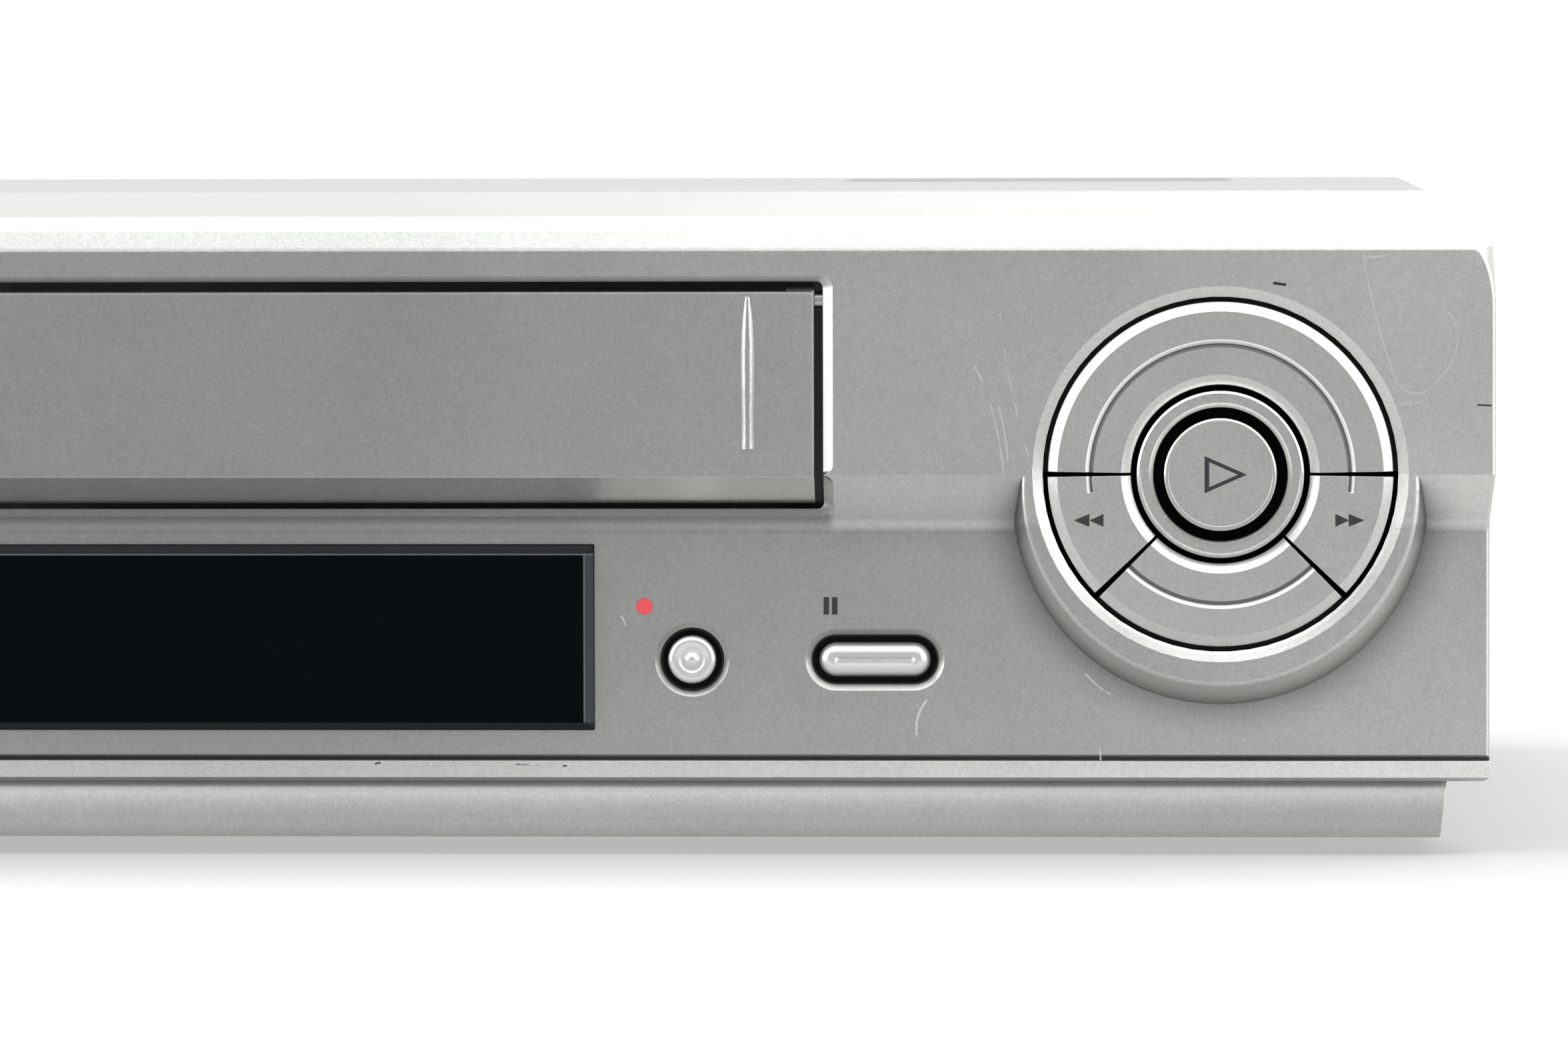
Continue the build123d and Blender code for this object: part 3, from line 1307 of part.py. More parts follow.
for name, side in (("guide_left", -1), ("guide_right", 1)):
    x = deck_x + side * guide_start[0]
    with BuildPart() as guide:
        with BuildSketch(Plane.XY.offset(deck_top + 0.3)):
            with Locations((x, guide_start[1])):
                RectangleRounded(11, 9, 2)
        extrude(amount=2.4)
        with BuildSketch(Plane.XY.offset(24.8)):
            with Locations((x, guide_start[1])):
                Circle(2.0)
        extrude(amount=deck_top + 0.3 - 24.8)
        with BuildSketch(Plane.XY.offset(deck_top + 2.7)):
            with Locations((x, guide_start[1])):
                Circle(3.0)
        extrude(amount=18)
        with BuildSketch(Plane.XY.offset(deck_top + 20.7)):
            with Locations((x, guide_start[1])):
                Circle(3.8)
        extrude(amount=1.6)
    guide.part.label = name
    export_step(guide.part, f"parts/{name}.step")

# ---- heads and tension arm ----------------------------------------------------------------------
with BuildPart() as tape_heads:
    with BuildSketch(Plane.XY.offset(deck_top)):
        with Locations((-67, 38)):
            RectangleRounded(8, 6, 1)
    extrude(amount=21)
    with BuildSketch(Plane.XY.offset(deck_top)):
        with Locations((24.5, 28.5)):
            RectangleRounded(6, 6, 1)
    extrude(amount=3)
    with BuildSketch(Plane.XY.offset(deck_top + 3)):
        with Locations((24.5, 28.5)):
            RectangleRounded(5, 5, 1)
    extrude(amount=18)
tape_heads.part.label = "tape_heads"
export_step(tape_heads.part, "parts/tape_heads.step")

tension_tip = (-62.0, 28.0)
with BuildPart() as tension_arm:
    with BuildSketch(Plane.XY.offset(28.4)):
        with BuildSketch(mode=Mode.PRIVATE) as tension_outline:
            with Locations(tension_pivot):
                Circle(3.5)
            with Locations(tension_tip):
                Circle(2)
            make_hull()
        add(tension_outline.sketch)
        with Locations(tension_pivot):
            Circle(pivot_pin_r + run_fit, mode=Mode.SUBTRACT)
    extrude(amount=1.6)
    with BuildSketch(Plane.XY.offset(30)):
        with Locations(tension_tip):
            Circle(1.5)
    extrude(amount=19)
tension_arm.part.label = "tension_arm"
export_step(tension_arm.part, "parts/tension_arm.step")
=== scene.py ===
import json
import math

import bmesh
import bpy
from mathutils import Euler, Matrix, Vector


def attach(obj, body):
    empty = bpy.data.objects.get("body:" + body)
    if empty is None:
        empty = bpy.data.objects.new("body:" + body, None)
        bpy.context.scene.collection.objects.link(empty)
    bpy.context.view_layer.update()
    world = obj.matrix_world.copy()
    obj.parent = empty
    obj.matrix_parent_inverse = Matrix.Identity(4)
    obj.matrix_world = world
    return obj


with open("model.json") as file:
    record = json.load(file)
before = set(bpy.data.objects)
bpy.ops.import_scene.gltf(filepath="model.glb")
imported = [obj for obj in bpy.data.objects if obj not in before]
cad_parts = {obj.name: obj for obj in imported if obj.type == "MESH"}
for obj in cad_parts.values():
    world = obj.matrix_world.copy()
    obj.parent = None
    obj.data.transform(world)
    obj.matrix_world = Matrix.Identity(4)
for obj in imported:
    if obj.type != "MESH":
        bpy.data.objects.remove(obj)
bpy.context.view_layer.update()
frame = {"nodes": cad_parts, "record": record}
mm = 0.001
print("frame loaded:", len(frame["nodes"]), "nodes")

# ---------- camera, light, floor
cameraLook = {"spot": (0.1392, -1.593, 0.1087), "yaw": -2.344, "pitch": -2.397, "roll": -0.12,
              "focalPixels": 15512.0, "frameWidth": 2352, "sensor": 36.0}


def placeCamera(look):
    data = bpy.data.cameras.new("camera")
    data.sensor_width = look["sensor"]
    data.lens = look["focalPixels"] / look["frameWidth"] * look["sensor"]
    data.clip_start, data.clip_end = 0.05, 50
    cam = bpy.data.objects.new("camera", data)
    bpy.context.scene.collection.objects.link(cam)
    turn = Euler((math.radians(90 + look["pitch"]), 0, -math.radians(look["yaw"]))).to_matrix()
    roll = Matrix.Rotation(math.radians(look["roll"]), 3, "Z")
    cam.matrix_world = Matrix.Translation(Vector(look["spot"])) @ (turn @ roll).to_4x4()
    bpy.context.scene.camera = cam


placeCamera(cameraLook)


def areaLamp(name, spot, target, size, power):
    data = bpy.data.lights.new(name, "AREA")
    data.shape = "RECTANGLE"
    data.size, data.size_y = size
    data.energy = power
    lamp = bpy.data.objects.new(name, data)
    lamp.location = spot
    lamp.rotation_euler = (Vector(target) - Vector(spot)).to_track_quat("-Z", "Y").to_euler()
    lamp.visible_camera = False
    bpy.context.scene.collection.objects.link(lamp)


studio = {
    "top": dict(spot=(0.05, -0.3, 1.3), target=(0.05, -0.3, 0.0), size=(2.6, 1.9), power=33.0),
    "right": dict(spot=(1.35, -0.75, 0.5), target=(0.1, -0.13, 0.1), size=(1.3, 1.0), power=8.0),
    "left": dict(spot=(-1.4, -0.6, 0.5), target=(0.0, -0.13, 0.1), size=(1.2, 1.0), power=13.0),
}
for lampName, values in studio.items():
    areaLamp(lampName + "Lamp", **values)


def makeWorld(values):
    world = bpy.data.worlds.new("studioWorld")
    world.use_nodes = True
    bpy.context.scene.world = world
    tree = world.node_tree
    tree.nodes.clear()
    out = tree.nodes.new("ShaderNodeOutputWorld")
    light = tree.nodes.new("ShaderNodeBackground")
    plain = tree.nodes.new("ShaderNodeBackground")
    mix = tree.nodes.new("ShaderNodeMixShader")
    path = tree.nodes.new("ShaderNodeLightPath")
    coord = tree.nodes.new("ShaderNodeTexCoord")
    total = 0.0
    for axis, low, high, dim, bright in values["ramps"]:
        share = tree.nodes.new("ShaderNodeVectorMath")
        share.operation = "DOT_PRODUCT"
        share.inputs[1].default_value = Vector(axis).normalized()
        tree.links.new(coord.outputs["Generated"], share.inputs[0])
        ramp = tree.nodes.new("ShaderNodeMapRange")
        ramp.interpolation_type = "SMOOTHSTEP"
        for label, number in (("From Min", low), ("From Max", high), ("To Min", dim), ("To Max", bright)):
            ramp.inputs[label].default_value = number
        tree.links.new(share.outputs["Value"], ramp.inputs["Value"])
        level = tree.nodes.new("ShaderNodeMath")
        level.operation = "MAXIMUM"
        tree.links.new(ramp.outputs[0], level.inputs[0])
        if total:
            tree.links.new(total, level.inputs[1])
        total = level.outputs[0]
    plain.inputs["Strength"].default_value = values["camera"]
    tree.links.new(total, light.inputs["Strength"])
    tree.links.new(path.outputs["Is Camera Ray"], mix.inputs[0])
    tree.links.new(light.outputs[0], mix.inputs[1])
    tree.links.new(plain.outputs[0], mix.inputs[2])
    tree.links.new(mix.outputs[0], out.inputs[0])
    for background in (light, plain):
        background.inputs["Color"].default_value = (1, 1, 1, 1)


# each ramp: direction, where it starts and ends along it, strength before and after
makeWorld({"ramps": (((0.22, 1, 0), -0.9, 0.2, 0.3, 1.0), ((0, 0, 1), 0.3, 0.62, 0.0, 0.95)), "camera": 1.0})


def makeFloor(values):
    mesh = bpy.data.meshes.new("floor")
    x0, x1, y0, y1 = values["reach"]
    mesh.from_pydata([(x0, y0, 0), (x1, y0, 0), (x1, y1, 0), (x0, y1, 0)], [], [(0, 1, 2, 3)])
    floor = bpy.data.objects.new("floor", mesh)
    bpy.context.scene.collection.objects.link(floor)
    mat = bpy.data.materials.new("floorWhite")
    mat.use_nodes = True
    tree = mat.node_tree
    tree.nodes.clear()
    out = tree.nodes.new("ShaderNodeOutputMaterial")
    seen = tree.nodes.new("ShaderNodeBsdfDiffuse")
    real = tree.nodes.new("ShaderNodeBsdfDiffuse")
    seen.inputs["Color"].default_value = (values["seen"],) * 3 + (1,)
    real.inputs["Color"].default_value = (values["real"],) * 3 + (1,)
    glow = tree.nodes.new("ShaderNodeEmission")
    shade = tree.nodes.new("ShaderNodeAmbientOcclusion")  # soft contact shadow round the foot
    shade.samples = 8
    shade.inputs["Distance"].default_value = values["shadowReach"]
    curve = tree.nodes.new("ShaderNodeMath")
    curve.operation = "POWER"
    curve.inputs[1].default_value = values["shadowCurve"]
    tree.links.new(shade.outputs["AO"], curve.inputs[0])
    level = tree.nodes.new("ShaderNodeMath")
    level.operation = "MULTIPLY_ADD"
    level.inputs[1].default_value = values["lift"]
    level.inputs[2].default_value = values["shadow"]
    tree.links.new(curve.outputs[0], level.inputs[0])
    tree.links.new(level.outputs[0], glow.inputs["Strength"])
    lifted = tree.nodes.new("ShaderNodeAddShader")
    path = tree.nodes.new("ShaderNodeLightPath")
    mix = tree.nodes.new("ShaderNodeMixShader")
    tree.links.new(seen.outputs[0], lifted.inputs[0])
    tree.links.new(glow.outputs[0], lifted.inputs[1])
    tree.links.new(path.outputs["Is Camera Ray"], mix.inputs[0])
    tree.links.new(real.outputs[0], mix.inputs[1])
    tree.links.new(lifted.outputs[0], mix.inputs[2])
    tree.links.new(mix.outputs[0], out.inputs[0])
    mesh.materials.append(mat)


# how the floor looks to the camera (seen, lift, shadow) and how much light it throws back (real)
makeFloor({"reach": (-1.7, 1.7, -0.32, 1.9), "seen": 0.03, "real": 0.415, "lift": 0.56,
           "shadow": 0.48, "shadowReach": 0.09, "shadowCurve": 1.9})
bpy.context.scene.view_settings.view_transform = "Standard"
print("camera, lamps and floor placed")


# ---------- node helpers
def newGroup(name, inputs, outputs):
    group = bpy.data.node_groups.new(name, "ShaderNodeTree")
    for label, kind, value in inputs:
        socket = group.interface.new_socket(label, in_out="INPUT", socket_type=kind)
        socket.default_value = value
    for label, kind in outputs:
        group.interface.new_socket(label, in_out="OUTPUT", socket_type=kind)
    return group, group.nodes.new("NodeGroupInput"), group.nodes.new("NodeGroupOutput")


def feed(tree, socket, value):
    if isinstance(value, bpy.types.NodeSocket):
        tree.links.new(value, socket)
    else:
        socket.default_value = value


def maths(tree, operation, a, b=0.0, c=0.0, clamp=False):
    node = tree.nodes.new("ShaderNodeMath")
    node.operation = operation
    node.use_clamp = clamp
    for slot, value in enumerate((a, b, c)):
        feed(tree, node.inputs[slot], value)
    return node.outputs[0]


def vectorMaths(tree, operation, a, b=(0, 0, 0)):
    node = tree.nodes.new("ShaderNodeVectorMath")
    node.operation = operation
    feed(tree, node.inputs[0], a)
    if operation == "SCALE":
        feed(tree, node.inputs["Scale"], b)
    else:
        feed(tree, node.inputs[1], b)
    return node.outputs["Value" if operation in ("LENGTH", "DISTANCE", "DOT_PRODUCT") else "Vector"]


def rangeMap(tree, value, low, high, outLow=0.0, outHigh=1.0, smooth=False):
    node = tree.nodes.new("ShaderNodeMapRange")
    node.interpolation_type = "SMOOTHSTEP" if smooth else "LINEAR"
    feed(tree, node.inputs["Value"], value)
    for label, number in (("From Min", low), ("From Max", high), ("To Min", outLow), ("To Max", outHigh)):
        feed(tree, node.inputs[label], number)
    return node.outputs[0]


def mixColour(tree, factor, a, b):
    node = tree.nodes.new("ShaderNodeMix")
    node.data_type = "RGBA"
    feed(tree, node.inputs[0], factor)
    feed(tree, node.inputs[6], a)
    feed(tree, node.inputs[7], b)
    return node.outputs[2]


def place(tree):
    return tree.nodes.new("ShaderNodeTexCoord").outputs["Object"]


def noise(tree, vector, scale, detail=3.0, roughness=0.6):
    node = tree.nodes.new("ShaderNodeTexNoise")
    tree.links.new(vector, node.inputs["Vector"])
    for label, value in (("Scale", scale), ("Detail", detail), ("Roughness", roughness)):
        feed(tree, node.inputs[label], value)
    return node.outputs["Fac"]


def cells(tree, vector, scale):
    node = tree.nodes.new("ShaderNodeTexVoronoi")
    tree.links.new(vector, node.inputs["Vector"])
    feed(tree, node.inputs["Scale"], scale)
    return node


def separate(tree, vector):
    node = tree.nodes.new("ShaderNodeSeparateXYZ")
    tree.links.new(vector, node.inputs[0])
    return node.outputs


# ---------- shared surface effects
def makeFlakeGroup():
    tree, source, sink = newGroup(
        "flakePaint",
        [("Base", "NodeSocketColor", (0.4, 0.4, 0.4, 1)), ("Flake", "NodeSocketFloat", 0.1),
         ("Mottle", "NodeSocketFloat", 0.05), ("Rough", "NodeSocketFloat", 0.4)],
        [("Color", "NodeSocketColor"), ("Roughness", "NodeSocketFloat"), ("Height", "NodeSocketFloat")])
    spot = place(tree)
    grain = maths(tree, "SUBTRACT", cells(tree, spot, 3600.0).outputs["Distance"], 0.45)
    speck = maths(tree, "SUBTRACT", noise(tree, spot, 1500.0, 4.0, 0.7), 0.5)
    fine = maths(tree, "ADD", grain, maths(tree, "MULTIPLY", speck, 1.6))
    fine = maths(tree, "MULTIPLY", fine, source.outputs["Flake"])
    broad = noise(tree, spot, 42.0, 4.0, 0.6)
    cloud = maths(tree, "ADD", maths(tree, "SUBTRACT", broad, 0.5),
                  maths(tree, "MULTIPLY", maths(tree, "SUBTRACT", noise(tree, spot, 220.0), 0.5), 0.6))
    cloud = maths(tree, "MULTIPLY", cloud, source.outputs["Mottle"])
    level = maths(tree, "ADD", maths(tree, "ADD", fine, cloud), 1.0)
    shade = vectorMaths(tree, "SCALE", source.outputs["Base"], level)
    rough = maths(tree, "ADD", source.outputs["Rough"], maths(tree, "MULTIPLY", speck, 0.06))
    rough = maths(tree, "ADD", rough, maths(tree, "MULTIPLY", maths(tree, "SUBTRACT", broad, 0.5), 0.06))
    tree.links.new(shade, sink.inputs["Color"])
    tree.links.new(rough, sink.inputs["Roughness"])
    tree.links.new(maths(tree, "ADD", grain, speck), sink.inputs["Height"])
    return tree


def makeGrainGroup():
    tree, source, sink = newGroup(
        "grain",
        [("Base", "NodeSocketColor", (0.1, 0.1, 0.1, 1)), ("Scale", "NodeSocketFloat", 900.0),
         ("Strength", "NodeSocketFloat", 0.2), ("Dust", "NodeSocketFloat", 0.1),
         ("Rough", "NodeSocketFloat", 0.5)],
        [("Color", "NodeSocketColor"), ("Roughness", "NodeSocketFloat"), ("Height", "NodeSocketFloat")])
    spot = place(tree)
    fine = noise(tree, spot, source.outputs["Scale"], 4.0)
    wave = maths(tree, "MULTIPLY", maths(tree, "SUBTRACT", fine, 0.5), source.outputs["Strength"])
    shade = vectorMaths(tree, "SCALE", source.outputs["Base"], maths(tree, "ADD", wave, 1.0))
    dusty = rangeMap(tree, noise(tree, spot, 24.0, 5.0), 0.45, 0.8)
    dusty = maths(tree, "MULTIPLY", dusty, source.outputs["Dust"], clamp=True)
    colour = mixColour(tree, dusty, shade, (0.42, 0.41, 0.39, 1))
    rough = maths(tree, "ADD", source.outputs["Rough"], maths(tree, "MULTIPLY", wave, 0.4))
    rough = maths(tree, "ADD", rough, maths(tree, "MULTIPLY", dusty, 0.5), clamp=True)
    tree.links.new(colour, sink.inputs["Color"])
    tree.links.new(rough, sink.inputs["Roughness"])
    tree.links.new(fine, sink.inputs["Height"])
    return tree


def makeBrushedGroup():
    tree, source, sink = newGroup(
        "brushed",
        [("Base", "NodeSocketColor", (0.5, 0.5, 0.5, 1)), ("Stretch", "NodeSocketVector", (40, 900, 900)),
         ("Strength", "NodeSocketFloat", 0.2), ("Spangle", "NodeSocketFloat", 0.1),
         ("Rough", "NodeSocketFloat", 0.35)],
        [("Color", "NodeSocketColor"), ("Roughness", "NodeSocketFloat"), ("Height", "NodeSocketFloat")])
    spot = place(tree)
    streak = noise(tree, vectorMaths(tree, "MULTIPLY", spot, source.outputs["Stretch"]), 1.0, 5.0, 0.7)
    wave = maths(tree, "MULTIPLY", maths(tree, "SUBTRACT", streak, 0.5), source.outputs["Strength"])
    patch = maths(tree, "SUBTRACT", separate(tree, cells(tree, spot, 160.0).outputs["Color"])[0], 0.5)
    patch = maths(tree, "MULTIPLY", patch, source.outputs["Spangle"])
    level = maths(tree, "ADD", maths(tree, "ADD", wave, patch), 1.0)
    shade = vectorMaths(tree, "SCALE", source.outputs["Base"], level)
    uneven = maths(tree, "ADD", wave, maths(tree, "MULTIPLY", patch, 0.5))
    rough = maths(tree, "ADD", source.outputs["Rough"], uneven, clamp=True)
    tree.links.new(shade, sink.inputs["Color"])
    tree.links.new(rough, sink.inputs["Roughness"])
    tree.links.new(streak, sink.inputs["Height"])
    return tree


def makeTurnedGroup():
    tree, source, sink = newGroup(
        "turned",
        [("Base", "NodeSocketColor", (0.5, 0.5, 0.5, 1)), ("Centre", "NodeSocketVector", (0, 0, 0)),
         ("Pitch", "NodeSocketFloat", 2500.0), ("Strength", "NodeSocketFloat", 0.1),
         ("Rough", "NodeSocketFloat", 0.2)],
        [("Color", "NodeSocketColor"), ("Roughness", "NodeSocketFloat"), ("Height", "NodeSocketFloat")])
    spot = vectorMaths(tree, "SUBTRACT", place(tree), source.outputs["Centre"])
    flat = vectorMaths(tree, "MULTIPLY", spot, (1, 1, 0))
    ring = maths(tree, "MULTIPLY", vectorMaths(tree, "LENGTH", flat), source.outputs["Pitch"])
    height = maths(tree, "MULTIPLY", separate(tree, spot)[2], source.outputs["Pitch"])
    joined = tree.nodes.new("ShaderNodeCombineXYZ")
    tree.links.new(ring, joined.inputs[0])
    tree.links.new(height, joined.inputs[2])
    line = noise(tree, joined.outputs[0], 1.0, 3.0, 0.7)
    wave = maths(tree, "MULTIPLY", maths(tree, "SUBTRACT", line, 0.5), source.outputs["Strength"])
    shade = vectorMaths(tree, "SCALE", source.outputs["Base"], maths(tree, "ADD", wave, 1.0))
    tree.links.new(shade, sink.inputs["Color"])
    tree.links.new(maths(tree, "ADD", source.outputs["Rough"], wave, clamp=True), sink.inputs["Roughness"])
    tree.links.new(line, sink.inputs["Height"])
    return tree


def makeStrokeGroup():
    tree, source, sink = newGroup(
        "stroke",
        [("From", "NodeSocketVector", (0, 0, 0)), ("To", "NodeSocketVector", (0, 0, 0)),
         ("Bow", "NodeSocketFloat", 0.0), ("Width", "NodeSocketFloat", 0.0002),
         ("Break", "NodeSocketFloat", 0.4)],
        [("Mask", "NodeSocketFloat")])
    spot = vectorMaths(tree, "MULTIPLY", place(tree), (1, 0, 1))
    along = vectorMaths(tree, "SUBTRACT", source.outputs["To"], source.outputs["From"])
    out = vectorMaths(tree, "SUBTRACT", spot, source.outputs["From"])
    reach = vectorMaths(tree, "DOT_PRODUCT", out, along)
    share = maths(tree, "DIVIDE", reach, vectorMaths(tree, "DOT_PRODUCT", along, along), clamp=True)
    side = vectorMaths(tree, "NORMALIZE", vectorMaths(tree, "CROSS_PRODUCT", along, (0, 1, 0)))
    swell = maths(tree, "MULTIPLY", share, maths(tree, "SUBTRACT", 1.0, share))
    swell = maths(tree, "MULTIPLY", swell, 4.0)
    swell = maths(tree, "MULTIPLY", swell, source.outputs["Bow"])
    bowed = vectorMaths(tree, "SCALE", side, swell)
    near = vectorMaths(tree, "ADD", vectorMaths(tree, "SCALE", along, share), bowed)
    gap = vectorMaths(tree, "DISTANCE", out, near)
    gap = maths(tree, "SUBTRACT", gap, maths(tree, "MULTIPLY", noise(tree, spot, 900.0), 0.00005))
    core = maths(tree, "MULTIPLY", source.outputs["Width"], 0.3)
    mask = rangeMap(tree, gap, core, source.outputs["Width"], 1.0, 0.0)
    whole = maths(tree, "ADD", source.outputs["Break"], 0.15)
    worn = rangeMap(tree, noise(tree, spot, 420.0), source.outputs["Break"], whole)
    tree.links.new(maths(tree, "MULTIPLY", mask, worn, clamp=True), sink.inputs["Mask"])
    return tree


groups = {"flake": makeFlakeGroup(), "grain": makeGrainGroup(),
          "brushed": makeBrushedGroup(), "turned": makeTurnedGroup()}
strokeGroup = makeStrokeGroup()


def finish(name, kind, values, principled=None, bump=0.02, edge=0.0):
    mat = bpy.data.materials.new(name)
    mat.use_nodes = True
    tree = mat.node_tree
    shader = tree.nodes["Principled BSDF"]
    effect = tree.nodes.new("ShaderNodeGroup")
    effect.node_tree = groups[kind]
    for label, value in values.items():
        effect.inputs[label].default_value = value + (1,) if label == "Base" else value
    for label, value in (principled or {}).items():
        shader.inputs[label].default_value = value
    tree.links.new(effect.outputs["Color"], shader.inputs["Base Color"])
    tree.links.new(effect.outputs["Roughness"], shader.inputs["Roughness"])
    relief = tree.nodes.new("ShaderNodeBump")
    relief.inputs["Strength"].default_value = bump
    relief.inputs["Distance"].default_value = 0.0001
    tree.links.new(effect.outputs["Height"], relief.inputs["Height"])
    if edge:
        rounded = tree.nodes.new("ShaderNodeBevel")
        rounded.samples = 4
        rounded.inputs["Radius"].default_value = edge
        tree.links.new(rounded.outputs[0], relief.inputs["Normal"])
    tree.links.new(relief.outputs[0], shader.inputs["Normal"])
    return mat


# Colours the masked area over what the finish already has
def overlay(mat, mask, colour, roughness=None, metallic=None):
    tree = mat.node_tree
    shader = tree.nodes["Principled BSDF"]
    base = shader.inputs["Base Color"]
    tree.links.new(mixColour(tree, mask, base.links[0].from_socket, colour + (1,)), base)
    for label, value in (("Roughness", roughness), ("Metallic", metallic)):
        if value is None:
            continue
        socket = shader.inputs[label]
        before = socket.links[0].from_socket if socket.links else socket.default_value
        tree.links.new(rangeMap(tree, mask, 0.0, 1.0, before, value), socket)


# Multiplies a finish's colour
def scaleColour(mat, level):
    tree = mat.node_tree
    base = tree.nodes["Principled BSDF"].inputs["Base Color"]
    tree.links.new(vectorMaths(tree, "SCALE", base.links[0].from_socket, level), base)


# Darkens the inner corners of a finish with painted shade, by ambient occlusion
def addPaintedCornerShade(mat, values):
    tree = mat.node_tree
    corner = tree.nodes.new("ShaderNodeAmbientOcclusion")
    corner.samples = 6
    corner.inputs["Distance"].default_value = values["reach"] * mm
    mask = rangeMap(tree, corner.outputs["AO"], values["open"], values["shut"], 0.0, values["depth"])
    overlay(mat, mask, values["colour"])


# painted light: the colour is paler to the right, where more light falls: x in mm, level of the colour there
sideLightLook = {"from": 20.0, "to": 172.0, "low": 0.84, "high": 1.19}
# painted shade in inner corners: reach in mm, occlusion where it starts and where it is full, its depth and
# colour
cornerShadeLook = {"reach": 6.0, "open": 0.97, "shut": 0.55, "depth": 0.95, "colour": (0.09, 0.09, 0.085)}


def paintedSideLight(tree):
    across = separate(tree, place(tree))[0]
    start, end = sideLightLook["from"] * mm, sideLightLook["to"] * mm
    return rangeMap(tree, across, start, end, sideLightLook["low"], sideLightLook["high"])


silver = (0.60, 0.609, 0.585)
looks = {
    "silver_paint": dict(
        kind="flake", bump=0.05, edge=0.00012, principled={"Metallic": 0.97},
        values={"Base": silver, "Flake": 0.2, "Mottle": 0.12, "Rough": 0.30}),
    "button_silver": dict(
        kind="flake", bump=0.03, edge=0.0002, principled={"Metallic": 0.85},
        values={"Base": (0.80, 0.80, 0.79), "Flake": 0.05, "Mottle": 0.04, "Rough": 0.24}),
    "window_black": dict(
        kind="grain", bump=0.0, edge=0.0002, principled={"Specular IOR Level": 0.018},
        values={"Base": (0.0022, 0.0034, 0.004), "Scale": 900.0,
                "Strength": 0.05, "Dust": 0.001, "Rough": 0.08}),
    "case_paint": dict(
        kind="flake", bump=0.06, edge=0.0003, principled={"Metallic": 0.0, "Specular IOR Level": 0.3},
        values={"Base": (0.33, 0.33, 0.326), "Flake": 0.12, "Mottle": 0.05, "Rough": 0.5}),
    "zinc_steel": dict(
        kind="brushed", bump=0.05, principled={"Metallic": 1.0},
        values={"Base": (0.50, 0.50, 0.49), "Stretch": (60, 500, 900),
                "Strength": 0.16, "Spangle": 0.14, "Rough": 0.36}),
    "screw_steel": dict(
        kind="brushed", bump=0.05, edge=0.0002, principled={"Metallic": 1.0},
        values={"Base": (0.22, 0.22, 0.22), "Stretch": (900, 900, 900),
                "Strength": 0.2, "Spangle": 0.0, "Rough": 0.32}),
    "rubber": dict(
        kind="grain", bump=0.3,
        values={"Base": (0.022, 0.022, 0.023), "Scale": 1500.0,
                "Strength": 0.4, "Dust": 0.08, "Rough": 0.7}),
    "black_plastic": dict(
        kind="grain", bump=0.3, edge=0.0002,
        values={"Base": (0.018, 0.018, 0.019), "Scale": 2200.0,
                "Strength": 0.25, "Dust": 0.04, "Rough": 0.42}),
    "white_plastic": dict(
        kind="grain", bump=0.1, edge=0.0002,
        values={"Base": (0.72, 0.70, 0.62), "Scale": 1200.0,
                "Strength": 0.06, "Dust": 0.05, "Rough": 0.38}),
    "board_green": dict(
        kind="grain", bump=0.1,
        values={"Base": (0.03, 0.12, 0.05), "Scale": 600.0, "Strength": 0.3, "Dust": 0.08, "Rough": 0.3}),
    "part_black": dict(
        kind="grain", bump=0.2, edge=0.0002,
        values={"Base": (0.03, 0.03, 0.035), "Scale": 1800.0,
                "Strength": 0.3, "Dust": 0.06, "Rough": 0.45}),
    "core_steel": dict(
        kind="brushed", bump=0.3, principled={"Metallic": 0.5},
        values={"Base": (0.24, 0.17, 0.09), "Stretch": (30, 30, 2600),
                "Strength": 0.5, "Spangle": 0.0, "Rough": 0.4}),
    "aluminium": dict(
        kind="brushed", bump=0.05, edge=0.0002, principled={"Metallic": 1.0},
        values={"Base": (0.72, 0.73, 0.74), "Stretch": (400, 400, 4000),
                "Strength": 0.1, "Spangle": 0.0, "Rough": 0.25}),
    "bright_steel": dict(
        kind="brushed", bump=0.02, edge=0.0002, principled={"Metallic": 1.0},
        values={"Base": (0.66, 0.66, 0.66), "Stretch": (500, 500, 500),
                "Strength": 0.06, "Spangle": 0.0, "Rough": 0.16}),
}
finishes = {slot: finish(slot.replace("_", "") + "Finish", **values) for slot, values in looks.items()}
slots = {part["node"]: part["material_slot"] for part in frame["record"]["subparts"]}


def dress(nodeName, mat):
    mesh = frame["nodes"][nodeName].data
    mesh.materials.clear()
    mesh.materials.append(mat)


for nodeName, slot in slots.items():
    dress(nodeName, finishes[slot])
print("finishes given to every node")

